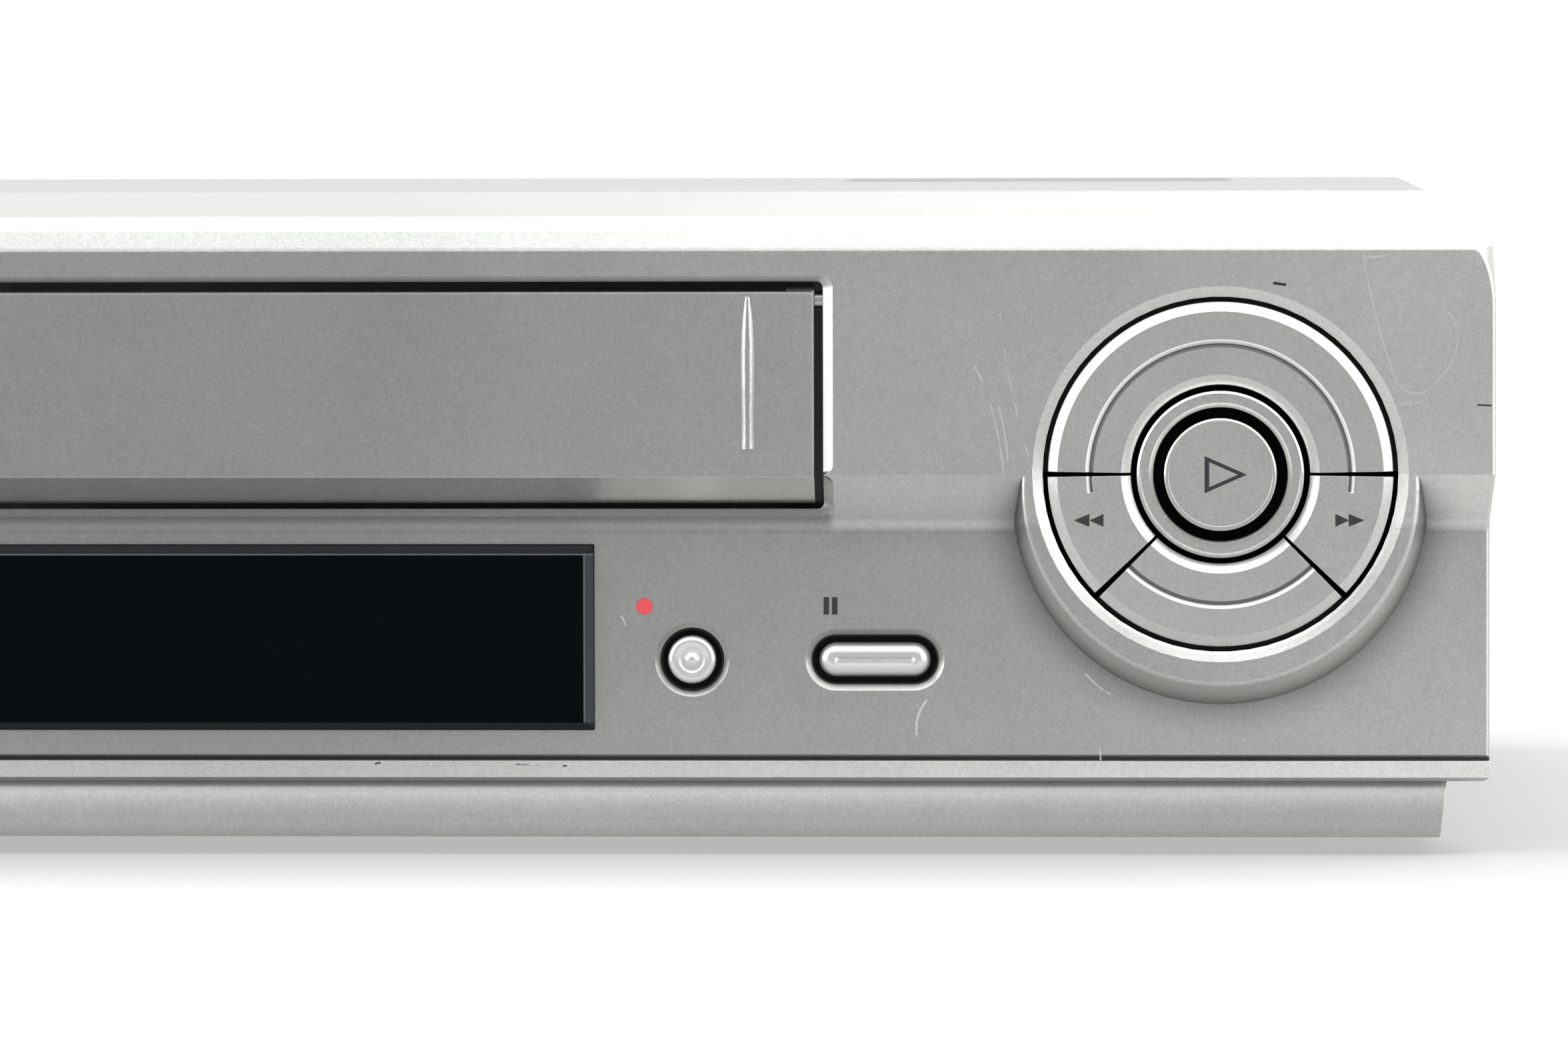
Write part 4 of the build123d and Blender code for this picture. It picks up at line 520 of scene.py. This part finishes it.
# ---------- front panel: handling marks
panelMarks = {
    # from x, z, to x, z, bow and width in mm, then how much of the stroke is worn away
    "pale": [
        (106.4, 69.6, 107.6, 67.4, 0.0, 0.16, 0.3), (110.0, 77.0, 114.8, 54.4, -0.6, 0.12, 0.42),
        (108.7, 64.1, 110.5, 54.6, 0.2, 0.13, 0.34), (109.8, 63.8, 111.1, 56.4, 0.2, 0.12, 0.34),
        (161.3, 85.4, 165.9, 67.3, -0.5, 0.12, 0.34), (165.9, 67.3, 171.8, 67.7, -1.8, 0.13, 0.3),
        (171.8, 67.7, 174.5, 72.7, -0.5, 0.12, 0.34), (174.5, 72.7, 172.2, 78.2, -0.8, 0.12, 0.38),
        (161.6, 84.9, 165.0, 85.2, 0.0, 0.18, 0.4), (99.4, 22.0, 98.0, 17.2, -0.5, 0.2, 0.3),
        (122.0, 25.8, 125.4, 22.9, -0.2, 0.12, 0.38), (166.4, 64.2, 169.4, 64.5, 0.0, 0.12, 0.4),
        (-62.0, 61.5, -63.4, 57.6, 0.0, 0.3, 0.35), (31.0, 20.6, 34.0, 20.2, 0.2, 0.12, 0.4),
        (124.0, 15.2, 124.1, 13.6, 0.0, 0.14, 0.35), (56.0, 34.0, 56.6, 32.8, 0.1, 0.14, 0.35),
    ],
    "paleInk": (0.86, 0.87, 0.86), "darkInk": (0.05, 0.05, 0.05),
    "dark": [(148.7, 81.3, 150.2, 81.1, 0.0, 0.28, 0.2), (177.4, 64.1, 179.2, 64.0, 0.0, 0.14, 0.1),
             (21.0, 13.0, 21.6, 13.1, 0.0, 0.16, 0.3), (41.0, 12.9, 44.0, 12.8, 0.0, 0.1, 0.48),
             (47.8, 12.7, 48.2, 12.7, 0.0, 0.14, 0.2)],
}


def strokeMask(tree, stroke):
    x0, z0, x1, z1, bow, width, cut = stroke
    node = tree.nodes.new("ShaderNodeGroup")
    node.node_tree = strokeGroup
    node.inputs["From"].default_value = (x0 * mm, 0, z0 * mm)
    node.inputs["To"].default_value = (x1 * mm, 0, z1 * mm)
    node.inputs["Bow"].default_value = bow * mm
    node.inputs["Width"].default_value = width * mm
    node.inputs["Break"].default_value = cut
    return node.outputs["Mask"]


def addMarks(mat, strokes, colour):
    tree = mat.node_tree
    total = strokeMask(tree, strokes[0])
    for stroke in strokes[1:]:
        total = maths(tree, "MAXIMUM", total, strokeMask(tree, stroke))
    overlay(mat, total, colour)


# 1 within the radius (mm) of a point (x, z) seen from the front, or of a level line through it
def nearAxis(tree, centre, radius, halfSpan=0.0, soft=0.00005):
    x, _, z = separate(tree, vectorMaths(tree, "SUBTRACT", place(tree), (centre[0] * mm, 0, centre[1] * mm)))
    side = maths(tree, "MAXIMUM", maths(tree, "SUBTRACT", maths(tree, "ABSOLUTE", x), halfSpan * mm), 0.0)
    squares = maths(tree, "ADD", maths(tree, "MULTIPLY", side, side), maths(tree, "MULTIPLY", z, z))
    gap = maths(tree, "SQRT", squares)
    return rangeMap(tree, gap, radius * mm - soft, radius * mm + soft, 1.0, 0.0)


# 1 where the coordinate on the axis is over the value (mm)
def beyond(tree, axis, value, soft=0.00005):
    return rangeMap(tree, separate(tree, place(tree))[axis], value * mm - soft, value * mm + soft)


def both(tree, a, b):
    return maths(tree, "MULTIPLY", a, b, clamp=True)


def inverse(tree, mask):
    return maths(tree, "SUBTRACT", 1.0, mask)


panelLook = {
    "dial": (141.1, 54.3), "dialRadius": 25.15, "faceY": -133.0, "keyY": -132.8, "gapDepth": 1.1,
    # near-black painted shade for gaps and recesses, and its roughness
    "gapShade": (0.006, 0.006, 0.006), "gapShadeRough": 0.8,
    "grooveR": 18.5, "grooveHalf": 0.55, "grooveDepth": 0.04, "grooveRough": 0.5,
    # colours of the painted highlight and painted shade in the groove
    "shine": (0.93, 0.94, 0.92), "dim": (0.16, 0.16, 0.155), "dialLevel": 1.07,
    # painted light by height: paler on the top edge, painted shade below the ledge and near the bottom; z
    # from and to in mm, then the level of the colour below and above
    "lightLevels": ((86.2, 86.6, 1.0, 1.3), (46.6, 47.6, 0.83, 1.0), (13.2, 13.4, 0.93, 1.0)),
    # painted light: the cone under the dial is paler where it is below the ledge
    "coneRadius": 33.5, "coneDrop": 3.0, "coneY": (-132.5, -127.7), "coneTop": (44.0, 47.0), "coneLightLevel": 1.3,
    # painted shadow under the flap
    "stripFoot": (45.6, 47.6), "stripTop": (49.4, 49.8), "stripEnd": 86.0, "stripSoft": 0.0006,
    "stripShadowLevel": 0.52,
    "wellDepth": 0.1,
}
# x, z, y of the face, radius, half span: the wells round the buttons, darkened with painted shade
wells = [(66.1, 27.8, -127.5, 4.55, 0.0), (-134.0, 27.8, -127.5, 4.55, 0.0),
         (-154.0, 27.8, -127.5, 4.55, 0.0), (-149.0, 68.0, -133.0, 4.55, 0.0),
         (92.1, 27.8, -127.5, 3.55, 5.5), (-104.0, 27.8, -127.5, 3.55, 5.5)]


# Darkens a masked gap or recess to near black with painted shade
def overlayPaintedShade(mat, mask):
    overlay(mat, mask, panelLook["gapShade"], panelLook["gapShadeRough"], 0.0)


# The cone's lower part, where painted light goes, as a mask
def coneLightMask(tree, height):
    dialX, dialZ = panelLook["dial"]
    front, back = panelLook["coneY"]
    depth = both(tree, beyond(tree, 1, front), inverse(tree, beyond(tree, 1, back)))
    low, high = panelLook["coneTop"]
    depth = both(tree, depth, rangeMap(tree, height, low * mm, high * mm, 1.0, 0.0))
    return both(tree, nearAxis(tree, (dialX, dialZ - panelLook["coneDrop"]), panelLook["coneRadius"]), depth)


# The strip of painted shadow under the flap, as a mask
def flapShadowMask(tree, height):
    (low, high), (footTop, top) = panelLook["stripFoot"], panelLook["stripTop"]
    strip = both(tree, rangeMap(tree, height, low * mm, high * mm),
                 rangeMap(tree, height, footTop * mm, top * mm, 1.0, 0.0))
    return both(tree, strip, inverse(tree, beyond(tree, 0, panelLook["stripEnd"], panelLook["stripSoft"])))


def makePanelFinish():
    mat = finish("panelFinish", **looks["silver_paint"])
    tree = mat.node_tree
    # painted light, paler to the right
    scaleColour(mat, paintedSideLight(tree))
    height = separate(tree, place(tree))[2]
    # painted highlight on the top edge and painted shade lower down
    for low, high, under, over in panelLook["lightLevels"]:
        scaleColour(mat, rangeMap(tree, height, low * mm, high * mm, under, over))
    # painted light on the cone under the dial
    scaleColour(mat, rangeMap(tree, coneLightMask(tree, height), 0.0, 1.0, 1.0, panelLook["coneLightLevel"]))
    # painted shadow under the flap
    scaleColour(mat, rangeMap(tree, flapShadowMask(tree, height), 0.0, 1.0, 1.0, panelLook["stripShadowLevel"]))
    # painted shade in the inner corners
    addPaintedCornerShade(mat, cornerShadeLook)
    behindDial = beyond(tree, 1, panelLook["faceY"] + panelLook["gapDepth"])
    inDial = both(tree, nearAxis(tree, panelLook["dial"], panelLook["dialRadius"]), behindDial)
    # painted shade in the wells round the buttons
    for x, z, faceY, radius, halfSpan in wells:
        sunk = beyond(tree, 1, faceY + panelLook["wellDepth"])
        overlayPaintedShade(mat, both(tree, nearAxis(tree, (x, z), radius, halfSpan), sunk))
    addMarks(mat, panelMarks["pale"], panelMarks["paleInk"])
    addMarks(mat, panelMarks["dark"], panelMarks["darkInk"])
    # painted shade deep in the dial's hole
    overlayPaintedShade(mat, inDial)
    return mat


dress("front_panel", makePanelFinish())


# Dial: painted shade in the gaps, and the groove has a painted highlight on its outer wall and painted shade
# on its inner wall
def makeDialFinish(name, faceY):
    mat = finish(name, **looks["silver_paint"])
    scaleColour(mat, panelLook["dialLevel"])
    tree = mat.node_tree
    spot, middle, half = panelLook["dial"], panelLook["grooveR"], panelLook["grooveHalf"]
    sunk = beyond(tree, 1, faceY + panelLook["grooveDepth"], 0.00001)
    outer, centre, inner = [nearAxis(tree, spot, radius) for radius in (middle + half, middle, middle - half)]
    outerWall = both(tree, outer, inverse(tree, centre))
    innerWall = both(tree, centre, inverse(tree, inner))
    # painted highlight on the groove's outer wall
    overlay(mat, both(tree, sunk, outerWall), panelLook["shine"], panelLook["grooveRough"], 0.0)
    # painted shade on the groove's inner wall
    overlay(mat, both(tree, sunk, innerWall), panelLook["dim"], panelLook["grooveRough"])
    # painted shade in the gaps
    overlayPaintedShade(mat, beyond(tree, 1, panelLook["faceY"] + panelLook["gapDepth"]))
    return mat


ringFinish = makeDialFinish("ringFinish", panelLook["faceY"])
keyFinish = makeDialFinish("keyFinish", panelLook["keyY"])
for dialPart in ("dial_ring", "play_collar", "play_button"):
    dress(dialPart, ringFinish)
for dialPart in ("rewind_key", "forward_key"):
    dress(dialPart, keyFinish)

# Flap: a shade darker than the panel, with painted light paler to the right and a painted highlight along its
# foot
flapLook = {"shade": 0.91, "foot": 1.4, "footZ": (53.7, 54.1)}


def makeFlapFinish():
    look = dict(looks["silver_paint"])
    look["values"] = dict(look["values"], Base=tuple(part * flapLook["shade"] for part in silver))
    mat = finish("flapFinish", **look)
    tree = mat.node_tree
    # painted light, paler to the right
    scaleColour(mat, paintedSideLight(tree))
    low, high = flapLook["footZ"]
    height = separate(tree, place(tree))[2]
    # painted highlight along the foot
    scaleColour(mat, rangeMap(tree, height, low * mm, high * mm, flapLook["foot"], 1.0))
    return mat


dress("cassette_flap", makeFlapFinish())

# Skirt: painted light, paler towards the top where it tilts up to the light. Each level is z from and to in
# mm, then the colour's level below and above
skirtLook = {"lightLevels": ((3.0, 9.3, 0.80, 1.4), (9.3, 9.8, 1.0, 1.18))}
skirtFinish = finish("skirtFinish", **looks["silver_paint"])
tree = skirtFinish.node_tree
for low, high, under, over in skirtLook["lightLevels"]:
    height = separate(tree, place(tree))[2]
    # painted light, paler towards the top
    scaleColour(skirtFinish, rangeMap(tree, height, low * mm, high * mm, under, over))
dress("base_skirt", skirtFinish)

# Buttons: painted shade on the sides below the rim
buttonLook = {"faces": {"record_button": -127.5, "pause_button": -127.5, "stop_eject_button": -127.5,
                        "channel_up_button": -127.5, "channel_down_button": -127.5, "power_button": -133.0},
              "depth": 0.4}
for buttonName, faceY in buttonLook["faces"].items():
    buttonFinish = finish(buttonName + "Finish", **looks["button_silver"])
    # painted shade on the sides
    overlayPaintedShade(buttonFinish, beyond(buttonFinish.node_tree, 1, faceY + buttonLook["depth"]))
    dress(buttonName, buttonFinish)

# Window: painted reflection makes the slanted rim paler than the face, with a painted highlight line where
# they meet
windowLook = {
    # axis, place on it and way out, then the rim's width and shade
    "edges": {"right": (0, 52.1, 1, 1.3, "side"), "left": (0, -84.7, -1, 1.3, "side"),
              "top": (2, 44.1, 1, 1.3, "foot"), "bottom": (2, 17.9, -1, 0.95, "foot")},
    # colours of the painted reflection on the side rims and on the top and bottom rims, and of the painted
    # highlight line
    "side": (0.05, 0.055, 0.062), "foot": (0.022, 0.024, 0.027), "line": (0.16, 0.17, 0.18),
    "rough": 0.3, "soft": 0.06, "lineHalf": (0.05, 0.15), "lineDepth": 0.7,
}
windowFinish = finish("windowFinish", **looks["window_black"])
tree = windowFinish.node_tree
soft = windowLook["soft"] * mm
thin, wide = windowLook["lineHalf"]
for edge, (axis, edgePlace, sign, width, shade) in windowLook["edges"].items():
    along = separate(tree, place(tree))[axis]
    inner = (edgePlace - sign * width) * mm
    distance = maths(tree, "MULTIPLY", maths(tree, "SUBTRACT", along, inner), float(sign))
    # painted reflection on the rim
    overlay(windowFinish, rangeMap(tree, distance, -soft, soft), windowLook[shade], windowLook["rough"])
    if edge != "bottom":
        # painted highlight line where rim and face meet
        line = maths(tree, "ABSOLUTE", distance)
        line = rangeMap(tree, line, thin * mm, wide * mm, windowLook["lineDepth"], 0.0)
        overlay(windowFinish, line, windowLook["line"], windowLook["rough"])
dress("display_window", windowFinish)

# ---------- front panel: printed signs
# colour and strength of the grain of each ink; how far an ink stands out and reaches in, mm
inkLook = {"colours": {"black": ((0.022, 0.021, 0.024), 0.3), "red": ((0.72, 0.075, 0.085), 0.15)},
           "thick": 0.03, "sunk": 0.05}
inks = {}
for inkName, (colour, strength) in inkLook["colours"].items():
    inkValues = {"Base": colour, "Scale": 3000.0, "Strength": strength, "Dust": 0.02, "Rough": 0.45}
    inks[inkName] = finish("ink" + inkName.capitalize(), "grain", inkValues, bump=0.2)


def onCircle(x, z, radius, angle):
    return x + radius * math.cos(angle), z + radius * math.sin(angle)


def disc(x, z, radius, steps=40):
    return [onCircle(x, z, radius, 2 * math.pi * k / steps) for k in range(steps)]


def bar(x, z, width, height):
    left, right, foot, top = x - width / 2, x + width / 2, z - height / 2, z + height / 2
    return [(left, foot), (right, foot), (right, top), (left, top)]


def band(x, z, radius, width, start, end, steps=28):
    angles = [math.radians(start + (end - start) * k / steps) for k in range(steps + 1)]
    outer = [onCircle(x, z, radius + width / 2, angle) for angle in angles]
    inner = [onCircle(x, z, radius - width / 2, angle) for angle in reversed(angles)]
    return outer + inner


def arrow(x, z, length, height):
    return [(x, z - height / 2), (x + length, z), (x, z + height / 2)]


# One four-sided stroke for each side of a closed outline
def hollow(corners, half):
    middle = sum((Vector(c) for c in corners), Vector((0, 0))) / len(corners)
    inradius = (Vector(corners[0]) - middle).length / 2
    outer = [middle + (Vector(c) - middle) * (1 + half / inradius) for c in corners]
    inner = [middle + (Vector(c) - middle) * (1 - half / inradius) for c in corners]
    count = len(corners)
    return [[outer[k], outer[(k + 1) % count], inner[(k + 1) % count], inner[k]] for k in range(count)]


def printSign(name, outlines, faceY, ink, body):
    work = bmesh.new()
    for outline in outlines:
        front = [work.verts.new((x * mm, (faceY - inkLook["thick"]) * mm, z * mm)) for x, z in outline]
        back = [work.verts.new((x * mm, (faceY + inkLook["sunk"]) * mm, z * mm)) for x, z in outline]
        work.faces.new(front)
        for k in range(len(outline)):
            n = (k + 1) % len(outline)
            work.faces.new((front[n], front[k], back[k], back[n]))
    bmesh.ops.recalc_face_normals(work, faces=work.faces)
    mesh = bpy.data.meshes.new(name)
    work.to_mesh(mesh)
    work.free()
    mesh.materials.append(inks[ink])
    sign = bpy.data.objects.new(name, mesh)
    bpy.context.scene.collection.objects.link(sign)
    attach(sign, body)


lowerFace, upperFace, keyFace, playFace = -127.5, -133.0, -132.8, -133.92
signs = {
    "recordDot": ([disc(59.3, 35.4, 1.16)], lowerFace, "red", "case"),
    "pauseBars": ([bar(85.2, 35.45, 0.75, 2.45), bar(86.4, 35.45, 0.75, 2.45)],
                  lowerFace, "black", "case"),
    "rewindSign": ([arrow(122.6, 47.8, -2.2, 1.83), arrow(124.6, 47.8, -2.0, 1.83)],
                   keyFace, "black", "rewind"),
    "forwardSign": ([arrow(157.3, 47.8, 2.0, 1.83), arrow(159.2, 47.8, 2.2, 1.83)],
                    keyFace, "black", "forward"),
    "playSign": (hollow([(139.2, 52.1), (144.2, 54.3), (139.2, 56.5)], 0.27), playFace, "black", "play"),
    "powerSign": ([band(-149.0, 76.6, 1.2, 0.32, -240, 60), bar(-149.0, 77.7, 0.34, 1.5)],
                  upperFace, "black", "case"),
    "stopSign": ([bar(-107.2, 35.4, 2.1, 2.1)], lowerFace, "black", "case"),
    "ejectSign": ([[(-102.2, 35.0), (-99.6, 35.0), (-100.9, 36.6)], bar(-100.9, 34.45, 2.6, 0.5)],
                  lowerFace, "black", "case"),
    "channelUpSign": ([[(-135.2, 34.7), (-132.8, 34.7), (-134.0, 36.3)]], lowerFace, "black", "case"),
    "channelDownSign": ([[(-155.2, 36.2), (-154.0, 34.6), (-152.8, 36.2)]], lowerFace, "black", "case"),
}
for signName, values in signs.items():
    printSign(signName, *values)

print("signs printed")


# ---------- rear: contacts, sleeves and colour rings
metal, gold = (0.72, 0.72, 0.70), (0.83, 0.62, 0.28)


# Colours a round part of a rear socket, from depth y (mm) outwards
def overlayRound(mat, spot, radius, y, colour, roughness, metallic=None):
    tree = mat.node_tree
    overlay(mat, both(tree, nearAxis(tree, spot, radius), beyond(tree, 1, y)), colour, roughness, metallic)


jackLook = {
    "x": 36.0, "jacks": ((66.0, (0.78, 0.56, 0.02)), (50.0, (0.75, 0.74, 0.70)), (34.0, (0.62, 0.02, 0.02))),
    "ring": (5.3, 125.3), "sleeve": (4.3, 126.1), "core": (3.0, 126.1),  # radius, y
}
jackFinish = finish("jackFinish", **looks["black_plastic"])
for z, colour in jackLook["jacks"]:
    spot = (jackLook["x"], z)
    overlayRound(jackFinish, spot, *jackLook["ring"], colour, 0.4)
    overlayRound(jackFinish, spot, *jackLook["sleeve"], metal, 0.25, 1.0)
    overlayRound(jackFinish, spot, *jackLook["core"], colour, 0.4, 0.0)
dress("phono_jacks", jackFinish)

inletLook = {"pins": ((-152.3, 34.0), (-143.7, 34.0)), "pin": (1.35, 113.5)}
inletFinish = finish("inletFinish", **looks["black_plastic"])
for spot in inletLook["pins"]:
    overlayRound(inletFinish, spot, *inletLook["pin"], metal, 0.25, 1.0)
dress("mains_inlet", inletFinish)

aerialLook = {"sockets": ((146.0, 66.0), (146.0, 42.0)), "collar": (4.75, 123.0), "pin": (1.5, 120.0),
              "collarColour": (0.75, 0.73, 0.68)}
tunerFinish = finish("tunerFinish", **looks["zinc_steel"])
for spot in aerialLook["sockets"]:
    overlayRound(tunerFinish, spot, *aerialLook["collar"], aerialLook["collarColour"], 0.5, 0.0)
    overlayRound(tunerFinish, spot, *aerialLook["pin"], gold, 0.25, 1.0)
dress("tuner", tunerFinish)

# Contacts in rows: x in the middle of a row, half its length, half its height, y where the contacts begin
contactLook = {"pitch": 3.7, "width": 1.3, "rows": (64.0, 36.0), "middle": 84.0,
               "halfLength": (19.0, 19.2), "halfHeight": (2.3, 2.4), "y": 118.5}


def makeContactFinish():
    mat = finish("avFinish", **looks["black_plastic"])
    tree = mat.node_tree
    x, _, z = separate(tree, place(tree))
    wave = maths(tree, "PINGPONG", maths(tree, "MULTIPLY", x, 1 / (contactLook["pitch"] * mm)), 0.5)
    gapShare = 0.5 - contactLook["width"] / contactLook["pitch"] / 2
    contacts = rangeMap(tree, wave, gapShare, gapShare + 0.02)
    reach = maths(tree, "ABSOLUTE", maths(tree, "SUBTRACT", x, contactLook["middle"] * mm))
    full, none = contactLook["halfLength"]
    inRow = rangeMap(tree, reach, full * mm, none * mm, 1.0, 0.0)
    outside = beyond(tree, 1, contactLook["y"])
    for row in contactLook["rows"]:
        full, none = contactLook["halfHeight"]
        level = maths(tree, "ABSOLUTE", maths(tree, "SUBTRACT", z, row * mm))
        tongue = rangeMap(tree, level, full * mm, none * mm, 1.0, 0.0)
        overlay(mat, both(tree, both(tree, both(tree, tongue, inRow), contacts), outside), gold, 0.3, 1.0)
    return mat


dress("av_sockets", makeContactFinish())
print("rear sockets finished")

# ---------- inside: boards, parts, drum and motors
boardLook = {"snap": 0.0012, "trackScale": 190.0, "trackEdge": (0.02, 0.09), "trackDepth": 0.85,
             "track": (0.06, 0.24, 0.10),
             "padScale": 260.0, "padEdge": (0.14, 0.17), "padDepth": 0.9, "pad": (0.70, 0.68, 0.62)}


def makeBoardFinish():
    mat = finish("boardFinish", **looks["board_green"])
    tree = mat.node_tree
    spot = place(tree)
    track = cells(tree, vectorMaths(tree, "SNAP", spot, (boardLook["snap"],) * 3), boardLook["trackScale"])
    track.distance = "MANHATTAN"
    track.feature = "DISTANCE_TO_EDGE"
    low, high = boardLook["trackEdge"]
    tracks = rangeMap(tree, track.outputs["Distance"], low, high, boardLook["trackDepth"], 0.0)
    overlay(mat, tracks, boardLook["track"], 0.28)
    pad = cells(tree, spot, boardLook["padScale"])
    low, high = boardLook["padEdge"]
    pads = rangeMap(tree, pad.outputs["Distance"], low, high, boardLook["padDepth"], 0.0)
    overlay(mat, pads, boardLook["pad"], 0.3, 0.9)
    return mat


boardFinish = makeBoardFinish()
for boardName in ("main_board", "power_board", "key_board"):
    dress(boardName, boardFinish)


# 1 within the radius (mm) of an upright axis through x, y
def nearUpright(tree, x, y, radius, soft=0.00005):
    gap = vectorMaths(tree, "SUBTRACT", place(tree), (x * mm, y * mm, 0))
    gap = vectorMaths(tree, "MULTIPLY", gap, (1, 1, 0))
    return rangeMap(tree, vectorMaths(tree, "LENGTH", gap), radius * mm - soft, radius * mm + soft, 1.0, 0.0)


sleeves = {"blue": (0.03, 0.05, 0.2), "green": (0.02, 0.10, 0.04), "brown": (0.22, 0.10, 0.03),
           "grey": (0.30, 0.30, 0.31)}
partLook = {
    # x, y, radius and sleeve of each can, then the height of the cans' bare tops over the board
    "main_board_parts": (
        [(98.5, -83.5, 4.2, "blue"), (109.5, -83.5, 4.2, "blue"), (98.5, -72.5, 4.2, "green"),
         (109.5, -72.5, 4.2, "blue"), (132, -4, 3.4, "brown"), (128, 46, 3.4, "blue"),
         (120, 84, 3.4, "grey"), (106, 96, 3.4, "brown"), (160, -18, 3.4, "green")], 11.9),
    "power_board_parts": (
        [(-154, 21, 9.2, "blue"), (-136, 11, 5.7, "green"), (-136, 24, 5.7, "brown")], 27.9),
}
boardTop, solderHeight, sleeveRim = 13.6, 0.7, 0.9


def makePartFinish(name, cans, canTop):
    mat = finish(name + "Finish", **looks["part_black"])
    tree = mat.node_tree
    for x, y, radius, sleeve in cans:
        overlay(mat, nearUpright(tree, x, y, radius), sleeves[sleeve], 0.35)
        bareTop = both(tree, nearUpright(tree, x, y, radius - sleeveRim), beyond(tree, 2, boardTop + canTop))
        overlay(mat, bareTop, metal, 0.3, 1.0)
    overlay(mat, inverse(tree, beyond(tree, 2, boardTop + solderHeight)), metal, 0.3, 1.0)
    return mat


for partName, (cans, canTop) in partLook.items():
    dress(partName, makePartFinish(partName, cans, canTop))

turned = {
    "drumFinish": (("head_drum_upper", "head_drum_lower"),
                   {"Base": (0.74, 0.75, 0.76), "Centre": (-0.0163, 0.0645, 0), "Pitch": 3200.0,
                    "Strength": 0.14, "Rough": 0.2}),
    "rotorFinish": (("drum_rotor",),
                    {"Base": (0.42, 0.40, 0.36), "Centre": (-0.0163, 0.0640, 0), "Pitch": 2600.0,
                     "Strength": 0.2, "Rough": 0.28}),
    "capstanFinish": (("capstan_flywheel", "capstan_housing"),
                      {"Base": (0.58, 0.56, 0.52), "Centre": (0.0357, 0.033, 0), "Pitch": 2600.0,
                       "Strength": 0.16, "Rough": 0.2}),
}
for finishName, (nodeNames, values) in turned.items():
    turnedFinish = finish(finishName, "turned", values, {"Metallic": 1.0}, bump=0.05, edge=0.0002)
    for nodeName in nodeNames:
        dress(nodeName, turnedFinish)

# Transformer: the wound coil between the two halves of the core
coilLook = {"foot": (18.5, 18.7), "top": (34.5, 34.7), "tape": (0.62, 0.50, 0.10)}
coilFinish = finish("coilFinish", **looks["core_steel"])
tree = coilFinish.node_tree
height = separate(tree, place(tree))[2]
(low, footEnd), (topStart, high) = coilLook["foot"], coilLook["top"]
wrap = both(tree, rangeMap(tree, height, low * mm, footEnd * mm),
            rangeMap(tree, height, topStart * mm, high * mm, 1.0, 0.0))
overlay(coilFinish, wrap, coilLook["tape"], 0.35, 0.0)
dress("transformer", coilFinish)
print("inner parts finished")
